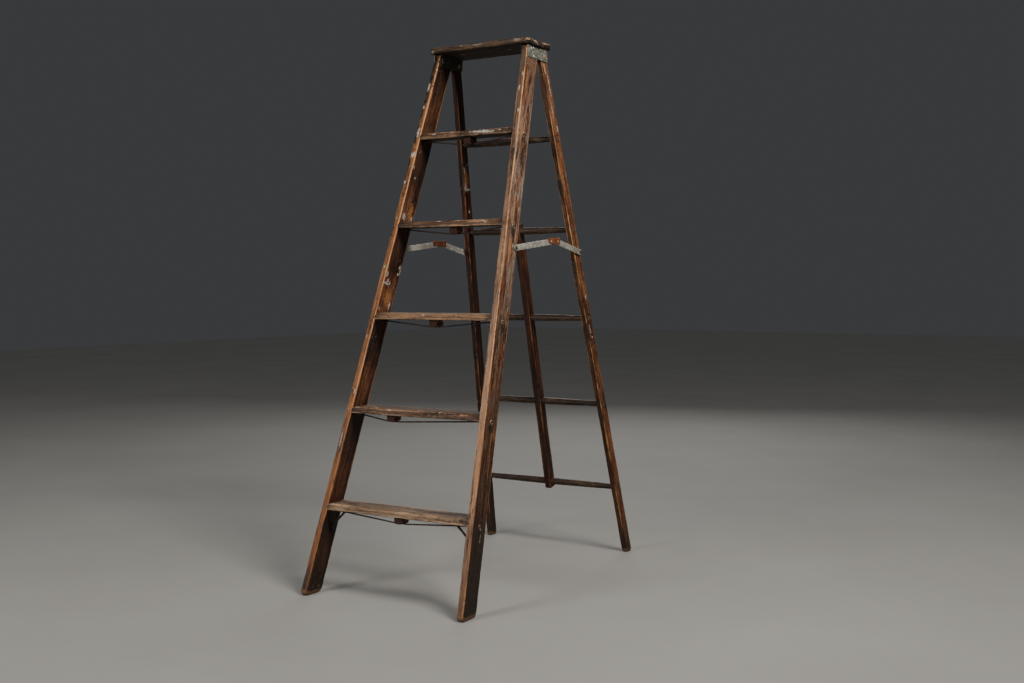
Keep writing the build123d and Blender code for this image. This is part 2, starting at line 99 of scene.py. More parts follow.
def noise2(x, y, seed):
    """Smooth value noise in -1..1."""
    x, y = np.broadcast_arrays(np.asarray(x, float), np.asarray(y, float))
    ix, iy = np.floor(x), np.floor(y)
    fx, fy = x - ix, y - iy
    fx, fy = fx * fx * (3 - 2 * fx), fy * fy * (3 - 2 * fy)
    a, b = lattice(ix, iy, seed), lattice(ix + 1, iy, seed)
    c, d = lattice(ix, iy + 1, seed), lattice(ix + 1, iy + 1, seed)
    return 2 * ((a * (1 - fx) + b * fx) * (1 - fy) + (c * (1 - fx) + d * fx) * fy) - 1


def fractal(x, y, seed, octaves=3):
    """Value noise in octaves, about -1..1."""
    return sum(noise2(np.asarray(x) * 2 ** k, np.asarray(y) * 2 ** k, seed + 17 * k) / 2 ** k
               for k in range(octaves)) / 1.75


def smooth(a, b, x):
    """Smooth step from 0 at x = a to 1 at x = b."""
    t = np.clip((np.asarray(x, float) - a) / (b - a), 0, 1)
    return t * t * (3 - 2 * t)


# ---------------------------------------------------------------- mesh helpers
# in degrees: edges sharper than this are drawn sharp
WOOD_SHARP, IRON_SHARP, SHEET_SHARP = 38, 35, 50


def link(name, data):
    """A new object with this data, in the scene."""
    obj = bpy.data.objects.new(name, data)
    bpy.context.scene.collection.objects.link(obj)
    return obj


def new_object(name, verts, faces, materials, face_material):
    mesh = bpy.data.meshes.new(name)
    mesh.from_pydata([tuple(v) for v in verts], [], faces)
    for m in materials:
        mesh.materials.append(m)
    mesh.polygons.foreach_set("material_index", np.asarray(face_material, np.int32))
    mesh.polygons.foreach_set("use_smooth", [True] * len(mesh.polygons))
    mesh.update()
    return link(name, mesh)


def tube_faces(rows, around, base=0):
    """Quads between so many rows of points, each a closed ring."""
    faces = []
    for i in range(rows - 1):
        for j in range(around):
            a, b = base + i * around + j, base + i * around + (j + 1) % around
            faces.append((a, b, b + around, a + around))
    return faces


def turn(count):
    """Angles evenly spread over a full turn."""
    return np.linspace(0, 2 * pi, count, endpoint=False)


def level(x, y, seed):
    """Noise at one point, in 0..1."""
    return 0.5 + 0.5 * float(noise2(x, y, seed))


def attribute(obj, name, values, kind="FLOAT"):
    """Gives each vertex a value that the materials read."""
    att = obj.data.attributes.new(name, kind, "POINT")
    field = "vector" if kind == "FLOAT_VECTOR" else "value"
    att.data.foreach_set(field, np.asarray(values, np.float32).ravel())


def fix_normals(obj, weld=0.0):
    """Turns all faces outward; weld joins vertices that are as near as this, in metres."""
    bm = bmesh.new()
    bm.from_mesh(obj.data)
    if weld:
        bmesh.ops.remove_doubles(bm, verts=bm.verts, dist=weld)
    bmesh.ops.recalc_face_normals(bm, faces=bm.faces)
    bm.to_mesh(obj.data)
    bm.free()
    obj.data.update()


def by_angle(obj, degrees):
    """Smooth shading except across sharp edges."""
    with bpy.context.temp_override(object=obj, active_object=obj, selected_objects=[obj],
                                   selected_editable_objects=[obj]):
        bpy.ops.object.shade_smooth_by_angle(angle=radians(degrees), keep_sharp_edges=False)


def stations(length, step, ends=(0.0, 0.5, 1.4, 3.0, 6.0)):
    """Distances along a piece: close together at its ends."""
    inner = np.linspace(ends[-1], length - ends[-1], max(4, int(length / step)))
    return np.unique(np.round(np.concatenate([ends, inner, [length - e for e in ends]]), 4))


class Wear:
    """What a board's arrises, faces and ends have suffered.  Everything is in mm."""

    def __init__(self, seed, arris=(2.0, 2.0, 2.0, 2.0), rough=0.6, chips=10, chip_depth=2.5,
                 end_round=1.5, dents=6, dish=None):
        self.seed, self.arris, self.rough = seed, arris, rough
        self.chips, self.chip_depth, self.end_round = chips, chip_depth, end_round
        self.dents, self.dish = dents, dish

    def radii(self, s, length):
        """Radius of each of the four arrises at each station."""
        rng = np.random.default_rng(self.seed)
        out = []
        for k, base in enumerate(self.arris):
            r = base * (1 + 0.42 * fractal(s / 70, 0.3 * k, self.seed + 31 * k)
                        + 0.22 * noise2(s / 9, 0.7 * k, self.seed + 7 + k))
            for _ in range(self.chips):
                at, run = rng.uniform(0, length), rng.uniform(5, 34)
                deep = self.chip_depth * rng.uniform(0.25, 1.0)
                t = (s - at) / run
                r = r + deep * np.where((t > 0) & (t < 1), np.minimum(t * 6, 1) * (1 - t), 0)
            out.append(np.clip(r, 0.5, None))
        return out


def inward(at):
    """Which way the wood lies from an arris."""
    return 1 if at == 0 else -1


def board(name, place, depth, thick, start, stop, wear, materials, step=9.0, cuts=(9, 3),
          tone_seed=0):
    """Board with worn arrises and faces.  place(s, v, n) maps arrays of mm along the grain, across the
    depth and through the thickness to the row frame in mm.  start(v, n) and stop(v, n) give where each
    fibre begins and ends."""
    arc_points = 4
    length = float(stop(depth / 2, thick / 2)) - float(start(depth / 2, thick / 2))
    dist = stations(length, step)
    radii = wear.radii(dist, length)
    corners = [(0, 0, pi, 1.5 * pi), (depth, 0, 1.5 * pi, 2 * pi), (depth, thick, 0, 0.5 * pi),
               (0, thick, 0.5 * pi, pi)]
    spans = cuts * 2
    verts, grain, edge, endd, sections = [], [], [], [], []
    rng = np.random.default_rng(wear.seed + 5)
    dents = [(rng.uniform(0, length), rng.uniform(0, depth), rng.integers(0, 2), rng.uniform(3, 11),
              rng.uniform(0.3, 1.1)) for _ in range(wear.dents)]
    for i, d in enumerate(dist):
        near = min(d, length - d)
        shrink = wear.end_round * max(0.0, 1 - near / (wear.end_round * 1.6)) ** 1.7
        ring = []
        for k, (cv, cn, a0, a1) in enumerate(corners):
            r = min(radii[k][i] + shrink * 0.5, thick / 2 - 1, depth / 2 - 1)
            sv, sn = inward(cv), inward(cn)
            for t in np.linspace(0, 1, arc_points):
                a = a0 + (a1 - a0) * t
                ring.append((cv + sv * r + r * cos(a), cn + sn * r + r * sin(a)))
            nxt = corners[(k + 1) % 4]
            r2 = min(radii[(k + 1) % 4][i] + shrink * 0.5, thick / 2 - 1, depth / 2 - 1)
            p0, b0 = ring[-1], nxt[2]
            p1 = (nxt[0] + inward(nxt[0]) * r2 + r2 * cos(b0), nxt[1] + inward(nxt[1]) * r2 + r2 * sin(b0))
            for j in range(1, spans[k] + 1):
                t = j / (spans[k] + 1)
                ring.append((p0[0] * (1 - t) + p1[0] * t, p0[1] * (1 - t) + p1[1] * t))
        ring = np.array(ring)
        v, n = ring[:, 0].copy(), ring[:, 1].copy()
        # faces undulate and are dented, always inward
        to_v = np.minimum(v, depth - v)
        to_n = np.minimum(n, thick - n)
        on_face = to_n < to_v
        low = n < thick / 2
        amount = wear.rough * (0.5 + 0.5 * fractal(d / 55, v / 23 + 40 * low, wear.seed + 3)) \
            + 0.25 * wear.rough * (1 + noise2(d / 12, v / 6 + 90 * low, wear.seed + 4))
        for (ds, dv, face, size, deep) in dents:
            g = np.exp(-(((d - ds) / size) ** 2 + ((v - dv) / (0.6 * size)) ** 2))
            amount = amount + deep * g * (low == bool(face))
        if wear.dish is not None:
            amount = amount + wear.dish(d, v, low)
        n = np.where(on_face, n + np.where(low, amount, -amount), n)
        side = wear.rough * (0.5 + 0.5 * fractal(d / 60, n / 20 + 60 * (v < depth / 2), wear.seed + 9))
        v = np.where(~on_face, v + np.where(v < depth / 2, side, -side), v)
        # ends pull in
        v = depth / 2 + (v - depth / 2) * (1 - 2 * shrink / depth)
        n = thick / 2 + (n - thick / 2) * (1 - 2 * shrink / thick)
        t = d / length
        s0, s1 = start(v, n), stop(v, n)
        s = s0 + (s1 - s0) * t
        verts.append(place(s, v, n))
        sections.append((v, n))
        grain.append(np.stack([s, v, n], 1))
        edge.append(np.minimum(v, depth - v) + np.minimum(n, thick - n))
        endd.append(np.full(len(v), near))
    count, per = len(dist), len(verts[0])
    verts = np.concatenate(verts) * MM
    grain, edge, endd = np.concatenate(grain) * MM, np.concatenate(edge) * MM, np.concatenate(endd) * MM
    faces = tube_faces(count, per)
    mats = [0] * len(faces)
    # ends: rings that close on the section's medial line
    for base, edge_of in ((0, start), ((count - 1) * per, stop)):
        v0, n0 = sections[base // per]
        mid_v = np.clip(v0, thick / 2, depth - thick / 2) if depth > thick else np.full(per, depth / 2)
        last = base
        for t in (0.3, 0.65, 1.0):
            v = v0 + (mid_v - v0) * t
            n = n0 + (thick / 2 - n0) * t
            s = edge_of(v, n) + 0 * v
            first = len(verts)
            verts = np.vstack([verts, place(s, v, n) * MM])
            grain = np.vstack([grain, np.stack([s, v, n], 1) * MM])
            edge = np.append(edge, (np.minimum(v, depth - v) + np.minimum(n, thick - n)) * MM)
            endd = np.append(endd, np.zeros(per))
            faces += [(last + j, last + (j + 1) % per, first + (j + 1) % per, first + j) for j in range(per)]
            mats += [1] * per
            last = first
    obj = new_object(name, verts, faces, materials, mats)
    attribute(obj, "grain", grain, "FLOAT_VECTOR")
    attribute(obj, "gnoise", grain + np.array([7.31 * tone_seed, 1.17 * tone_seed, 0.53 * tone_seed]),
              "FLOAT_VECTOR")
    attribute(obj, "edge", edge)
    attribute(obj, "endd", endd)
    fix_normals(obj, weld=2e-6)
    by_angle(obj, WOOD_SHARP)
    return obj


def rod(name, centre, radius, end_half, materials, seed, inner):
    """Turned or shaved bar along X.  centre(x) gives (y, z), radius(x, angle) the section and
    end_half(y, z) where each end stops; it enters its sockets at x = inner.  All in mm."""
    step, around, round_end = 9.0, 32, 1.0
    y_mid, z_mid = centre(0)
    half = float(end_half(y_mid, z_mid))
    dist = stations(2 * half, step, (0.0, 0.6, 1.6, 4.0, half - inner - 1.2, half - inner + 0.8))
    angle = turn(around)
    verts, grain, endd = [], [], []
    for d in dist:
        x = d - half
        near = min(d, 2 * half - d)
        r = radius(x, angle) - round_end * max(0.0, 1 - near / (round_end * 1.6)) ** 1.7
        y, z = centre(x)
        yy, zz = y + r * np.cos(angle), z + r * np.sin(angle)
        xx = x * end_half(yy, zz) / half
        verts.append(np.stack([xx, yy, zz], 1))
        grain.append(np.stack([xx, r * np.cos(angle) + 20, r * np.sin(angle) + 20], 1))
        endd.append(np.full(around, near))
    count = len(dist)
    verts, grain, endd = np.concatenate(verts) * MM, np.concatenate(grain) * MM, np.concatenate(endd) * MM
    faces = tube_faces(count, around)
    mats = [0] * len(faces)
    for base in (0, (count - 1) * around):
        ring = slice(base, base + around)
        verts = np.vstack([verts, verts[ring].mean(0)])
        grain = np.vstack([grain, grain[ring].mean(0)])
        endd = np.append(endd, 0.0)
        hub = len(verts) - 1
        faces += [(base + j, base + (j + 1) % around, hub) for j in range(around)]
        mats += [1] * around
    obj = new_object(name, verts, faces, materials, mats)
    attribute(obj, "grain", grain, "FLOAT_VECTOR")
    attribute(obj, "gnoise", grain + np.array([3.7 * seed, 0.9 * seed, 0.4 * seed]), "FLOAT_VECTOR")
    attribute(obj, "edge", np.full(len(verts), 0.006))
    attribute(obj, "endd", endd)
    fix_normals(obj)
    by_angle(obj, WOOD_SHARP)
    return obj


def eased(path, ease, step):
    """Points along a path whose corners are rounded off, about step mm apart."""
    pts = [Vector(p) for p in path]
    line = [pts[0]]
    for a, b, c in zip(pts, pts[1:], pts[2:]):
        cut = min(ease, (b - a).length * 0.45, (c - b).length * 0.45)
        p, q = b + (a - b).normalized() * cut, b + (c - b).normalized() * cut
        line += [p * (1 - t) ** 2 + b * 2 * t * (1 - t) + q * t ** 2 for t in np.linspace(0, 1, 7)]
    line.append(pts[-1])
    fine = [line[0]]
    for a, b in zip(line, line[1:]):
        n = max(1, round((b - a).length / step))
        fine += [a.lerp(b, (k + 1) / n) for k in range(n)]
    return fine


def basis(origin, normal, along):
    """Matrix in mm with z along normal and y along `along`."""
    z = Vector(normal).normalized()
    y = (Vector(along) - z * z.dot(Vector(along))).normalized()
    x = y.cross(z)
    m = Matrix((x, y, z)).transposed().to_4x4()
    m.translation = Vector(origin)
    return m


class Builder:
    """Collects several closed solids into one mesh.  Everything is in mm until it is stored."""

    def __init__(self):
        self.verts, self.faces, self.marks = [], [], []

    def mark(self, index):
        """What follows gets this material."""
        self.marks.append((len(self.faces), index))

    def lathe(self, profile, matrix, around, seed, uneven):
        """Spins (radius, height) pairs about local z."""
        rings = []
        for i, (r, h) in enumerate(profile):
            ring = []
            for k in range(around):
                a = 2 * pi * k / around
                rr = r * (1 - uneven * level(3 + cos(a) * 1.3, sin(a) * 1.3 + i * 0.2, seed))
                ring.append(matrix @ Vector((rr * cos(a), rr * sin(a), h)))
            rings.append(ring)
        self.loft(rings)

    def dome(self, matrix, radius, height, shank_r, shank, seed, uneven=0.07):
        """Rivet or nail: a domed head standing on local z = 0, its shank below."""
        profile = [(shank_r, -shank), (shank_r, -0.05), (radius * 0.97, -0.02), (radius, 0.12 * height),
                   (radius * 0.97, 0.36 * height), (radius * 0.85, 0.62 * height),
                   (radius * 0.64, 0.83 * height), (radius * 0.36, 0.96 * height), (radius * 0.1, height)]
        self.lathe(profile, matrix, 20, seed, uneven)

    def washer(self, matrix, radius, hole, height, seed):
        """Ring with a hole, on local z = 0."""
        b = 0.22 * height
        profile = [(hole, 0.02), (radius - b, 0.0), (radius, b), (radius, height - b),
                   (radius - b, height), (hole + b, height), (hole, height - b), (hole, 0.02)]
        base = len(self.verts)
        around = 28
        for i, (r, h) in enumerate(profile[:-1]):
            for k in range(around):
                a = 2 * pi * k / around
                rr = r * (1 - 0.03 * level(cos(a) * 2, sin(a) * 2, seed) * (r > hole + b))
                self.verts.append(matrix @ Vector((rr * cos(a), rr * sin(a), h)) * MM)
        n = len(profile) - 1
        for i in range(n):
            for k in range(around):
                here, there, after = base + i * around, base + (i + 1) % n * around, (k + 1) % around
                self.faces.append((here + k, here + after, there + after, there + k))

    def loft(self, rings):
        """Closes a row of equal rings of points (mm) into a solid."""
        base, per = len(self.verts), len(rings[0])
        self.verts += [Vector(p) * MM for ring in rings for p in ring]
        self.faces += tube_faces(len(rings), per, base)
        self.faces.append(tuple(base + k for k in range(per)))
        self.faces.append(tuple(base + (len(rings) - 1) * per + k for k in range(per)))

    def tube(self, path, radius, ease, seed, wobble):
        """Iron rod along points (mm), its corners eased, slightly uneven."""
        rings = []
        fine = eased(path, ease, 7.0)
        for i, p in enumerate(fine):
            t = (fine[min(i + 1, len(fine) - 1)] - fine[max(i - 1, 0)]).normalized()
            u = Vector((0, 1, 0))
            w = t.cross(u).normalized()
            inside = 2 < i < len(fine) - 3
            shift = wobble * float(noise2(i / 5, 0, seed)) * inside
            r = radius * (1 - 0.06 * level(i / 3, 5, seed))
            rings.append([p + Vector((0, shift, 0)) + (u * cos(a) + w * sin(a)) * r
                          for a in turn(14)])
        self.loft(rings)

    def strap(self, path, sections):
        """Rod whose ends are hammered flat: path in a plane of constant y, sections (width along y,
        thickness) at each of its points."""
        pts = [Vector(p) for p in path]
        lengths = np.concatenate([[0], np.cumsum([(b - a).length for a, b in zip(pts, pts[1:])])])
        fine = eased(path, 5.0, 1.8)
        run = np.concatenate([[0], np.cumsum([(b - a).length for a, b in zip(fine, fine[1:])])])
        run = run / run[-1] * lengths[-1]
        total = lengths[-1]
        rings = []
        for i, p in enumerate(fine):
            t = (fine[min(i + 1, len(fine) - 1)] - fine[max(i - 1, 0)]).normalized()
            w = Vector((0, 1, 0))
            u = t.cross(w).normalized()
            wide = np.interp(run[i], lengths, [c[0] for c in sections])
            thick = np.interp(run[i], lengths, [c[1] for c in sections])
            near = min(run[i], total - run[i])
            if near < wide / 2:
                wide *= max(0.3, sqrt(max(0.0, 1 - (1 - near / (wide / 2)) ** 2)))
            power = np.interp(thick, [3.0, 6.2], [0.35, 1.0])
            ring = []
            for a in turn(20):
                across, up = cos(a), sin(a)
                ring.append(p + w * (wide / 2 * np.sign(across) * abs(across) ** power)
                            + u * (thick / 2 * np.sign(up) * abs(up) ** power))
            rings.append(ring)
        self.loft(rings)

    def nut(self, matrix, radius, height):
        """Six-sided nut with its corners taken off."""
        rings = []
        for r, h in ((radius, 0.0), (radius, height * 0.8), (radius * 0.88, height), (radius * 0.5, height)):
            rings.append([matrix @ Vector((r * cos(a), r * sin(a), h))
                          for a in turn(6)])
        self.loft(rings)

    def channel(self, matrix, width, wall, front, back, high, seed):
        """Sheet folded over into an upside-down U, open below, its rear top corner turned up."""
        rings = []
        for along in np.linspace(front, back, 34):
            t = (along - front) / (back - front)
            top = high + 2.5 * float(smooth(back - 15, back - 3,
                                            along)) - 0.25 * (1 + float(noise2(t * 6, 1, seed)))
            low = np.interp(along, (front, back - 16, back), (-3.5, -9.0, -10.0))
            low += 0.3 * (1 + float(noise2(t * 9, 4, seed)))
            inset = 0.12 * (1 + float(noise2(t * 5, 8, seed)))
            ends = 1.4 * max(0.0, 1 - min(along - front, back - along) / 2.0)
            low, top = low + ends, top - ends * 0.6
            a, b, r = inset, width - inset, 2.2
            ring = [(a, low), (a, (low + top) / 2), (a, top - r)]
            ring += [(a + r - r * cos(q), top - r + r * sin(q)) for q in np.linspace(0.3, pi / 2, 4)]
            ring += [(b - r + r * sin(q), top - r + r * cos(q)) for q in np.linspace(0, pi / 2 - 0.3, 4)]
            ring += [(b, top - r), (b, (low + top) / 2), (b, low)]
            c, d, under = a + wall, b - wall, top - wall
            ring += [(d, low), (d, (low + under) / 2), (d, under - 0.6), (d - 0.6, under),
                     (c + 0.6, under), (c, under - 0.6), (c, (low + under) / 2), (c, low)]
            rings.append([matrix @ Vector((along, y, x)) for x, y in ring])
        self.loft(rings)

    def finish(self, name, *materials, sharp=IRON_SHARP):
        which = np.zeros(len(self.faces), int)
        for start, index in self.marks:
            which[start:] = index
        obj = new_object(name, self.verts, self.faces, materials, which)
        fix_normals(obj)
        by_angle(obj, sharp)
        return obj


def sheet_metal(name, outline, thickness, matrix, material, bevel, warp, seed, step):
    """Flat piece cut to an outline (mm, local x and y), meshed finely, beveled and slightly warped.
    Local z runs from 0 to thickness."""
    bm = bmesh.new()
    bm.faces.new([bm.verts.new((x, y, 0)) for x, y in outline])
    xs, ys = [p[0] for p in outline], [p[1] for p in outline]
    for axis, lo, hi in ((0, min(xs), max(xs)), (1, min(ys), max(ys))):
        for c in np.arange(lo + step, hi - step * 0.3, step):
            co, no = [0, 0, 0], [0, 0, 0]
            co[axis], no[axis] = c, 1
            bmesh.ops.bisect_plane(bm, geom=bm.verts[:] + bm.edges[:] + bm.faces[:], plane_co=co,
                                   plane_no=no, dist=1e-4)
    grown = bmesh.ops.extrude_face_region(bm, geom=bm.faces[:])
    top = [g for g in grown["geom"] if isinstance(g, bmesh.types.BMVert)]
    for v in top:
        v.co.z = thickness
    bmesh.ops.recalc_face_normals(bm, faces=bm.faces)
    sharp = [e for e in bm.edges if len(e.link_faces) == 2 and e.calc_face_angle(0) > radians(60)
             and (abs(e.verts[0].co.z - e.verts[1].co.z) < 1e-6)]
    bmesh.ops.bevel(bm, geom=sharp, offset=bevel, segments=2, profile=0.6, affect="EDGES")
    for v in bm.verts:
        x, y, z = v.co
        v.co.z = z + warp * float(fractal(x / 28, y / 28, seed, 2))
    low = min(v.co.z for v in bm.verts)
    high = max(v.co.z for v in bm.verts)
    fit = min(1.0, thickness / (high - low))
    for v in bm.verts:
        v.co.z = (v.co.z - low) * fit
        v.co = matrix @ v.co * MM
    mesh = bpy.data.meshes.new(name)
    bm.to_mesh(mesh)
    bm.free()
    mesh.materials.append(material)
    mesh.polygons.foreach_set("use_smooth", [True] * len(mesh.polygons))
    obj = link(name, mesh)
    by_angle(obj, SHEET_SHARP)
    return obj


# ---------------------------------------------------------------- materials
def rgb(r, g, b):
    """Display colour, 0 to 255, as linear RGBA."""
    def lin(c):
        c = c / 255
        return c / 12.92 if c <= 0.04045 else ((c + 0.055) / 1.055) ** 2.4
    return (lin(r), lin(g), lin(b), 1.0)


def darker(tone, share):
    """A colour at a share of its brightness."""
    return tuple(c * share for c in tone[:3]) + (1,)


class Shader:
    """Builds one material's nodes."""

    def __init__(self, name):
        self.mat = bpy.data.materials.new(name)
        self.mat.use_nodes = True
        self.tree = self.mat.node_tree
        self.tree.nodes.clear()
        self.bsdf = self.tree.nodes.new("ShaderNodeBsdfPrincipled")
        out = self.tree.nodes.new("ShaderNodeOutputMaterial")
        self.tree.links.new(self.bsdf.outputs[0], out.inputs[0])

    def put(self, socket, value):
        if isinstance(value, bpy.types.NodeSocket):
            self.tree.links.new(value, socket)
        elif value is not None:
            socket.default_value = value

    def node(self, kind, *inputs, **props):
        n = self.tree.nodes.new("ShaderNode" + kind)
        for key, value in props.items():
            setattr(n, key, value)
        for i, value in enumerate(inputs):
            self.put(n.inputs[i], value)
        return n

    def math(self, op, a, b=0.0, clamp=False):
        return self.node("Math", a, b, operation=op, use_clamp=clamp).outputs[0]

    def add(self, a, b, clamp=False):
        return self.math("ADD", a, b, clamp)

    def sub(self, a, b):
        return self.math("SUBTRACT", a, b)

    def mul(self, a, b):
        return self.math("MULTIPLY", a, b)

    def centred(self, value, weight):
        """A noise about zero, scaled."""
        return self.mul(self.sub(value, 0.5), weight)

    def weave(self, *parts):
        """Sum of noises about zero, each times its weight."""
        return reduce(self.add, [self.centred(value, weight) for value, weight in parts])

    def most(self, total, value):
        """The larger of two, where there may be no total yet."""
        return value if total is None else self.math("MAXIMUM", total, value)

    def weigh(self, *parts):
        """Sum of values, each times its weight."""
        return reduce(self.add, [self.mul(value, weight) for value, weight in parts])

    def vec(self, op, a, b=(0, 0, 0)):
        n = self.node("VectorMath", a, b, operation=op)
        return n.outputs["Value" if op == "LENGTH" else "Vector"]

    def stretch(self, vector, factors):
        return self.vec("MULTIPLY", vector, factors)

    def attr(self, name, out="Vector"):
        return self.node("Attribute", attribute_name=name).outputs[out]

    def split(self, vector):
        return self.node("SeparateXYZ", vector).outputs

    def noise(self, vector, scale=1.0, detail=3.0, rough=0.55, distort=0.0):
        n = self.node("TexNoise", noise_dimensions="3D")
        self.put(n.inputs["Vector"], vector)
        n.inputs["Scale"].default_value = scale
        n.inputs["Detail"].default_value = detail
        n.inputs["Roughness"].default_value = rough
        n.inputs["Distortion"].default_value = distort
        return n.outputs["Fac"]

    def cells(self, vector, scale=1.0, out="Distance"):
        n = self.node("TexVoronoi", voronoi_dimensions="3D", feature="F1")
        self.put(n.inputs["Vector"], vector)
        n.inputs["Scale"].default_value = scale
        return n.outputs[out]

    def span(self, x, lo, hi, a=0.0, b=1.0):
        """Smooth step from a at x = lo to b at x = hi."""
        return self.node("MapRange", x, lo, hi, a, b, interpolation_type="SMOOTHSTEP").outputs[0]

    def ramp(self, x, stops):
        n = self.node("ValToRGB", x)
        elements = n.color_ramp.elements
        while len(elements) < len(stops):
            elements.new(0.5)
        for e, (pos, colour) in zip(elements, stops):
            e.position, e.color = pos, colour
        return n.outputs[0]

    def mix(self, t, a, b, blend="MIX"):
        n = self.node("Mix", data_type="RGBA", blend_type=blend)
        self.put(n.inputs[0], t)
        self.put(n.inputs[6], a)
        self.put(n.inputs[7], b)
        return n.outputs[2]

    def tint(self, colour, by):
        return self.mix(1.0, colour, by, "MULTIPLY")

    def relief(self, height, strength, distance):
        n = self.node("Bump")
        n.inputs["Strength"].default_value = strength
        n.inputs["Distance"].default_value = distance
        self.put(n.inputs["Height"], height)
        self.put(self.bsdf.inputs["Normal"], n.outputs[0])


WHITE = rgb(206, 200, 188)
CHARCOAL = rgb(22, 17, 14)
UMBER, OAK, TAN, DRIFT = rgb(34, 21, 14), rgb(134, 89, 56), rgb(170, 124, 82), rgb(112, 92, 76)
# spacing in mm of the growth rings, along a board and on its ends, and of a saw's marks
RING_PITCH, END_RING_PITCH, SAW_PITCH = 3.4, 3.0, 8.5


def blobs_mask(sh, g, wobble, spots):
    """Where drips and splashes lie, None if there are none.  Each spot is its centre and half size
    as (s, v, n), in mm; wobble frays its edge."""
    total = None
    for centre, size in spots:
        local = sh.vec("DIVIDE", sh.vec("SUBTRACT", g, tuple(c * MM for c in centre)),
                       tuple(c * MM for c in size))
        d = sh.add(sh.vec("LENGTH", local), wobble)
        m = sh.span(d, 1.0, 0.78)
        total = sh.most(total, m)
    return total


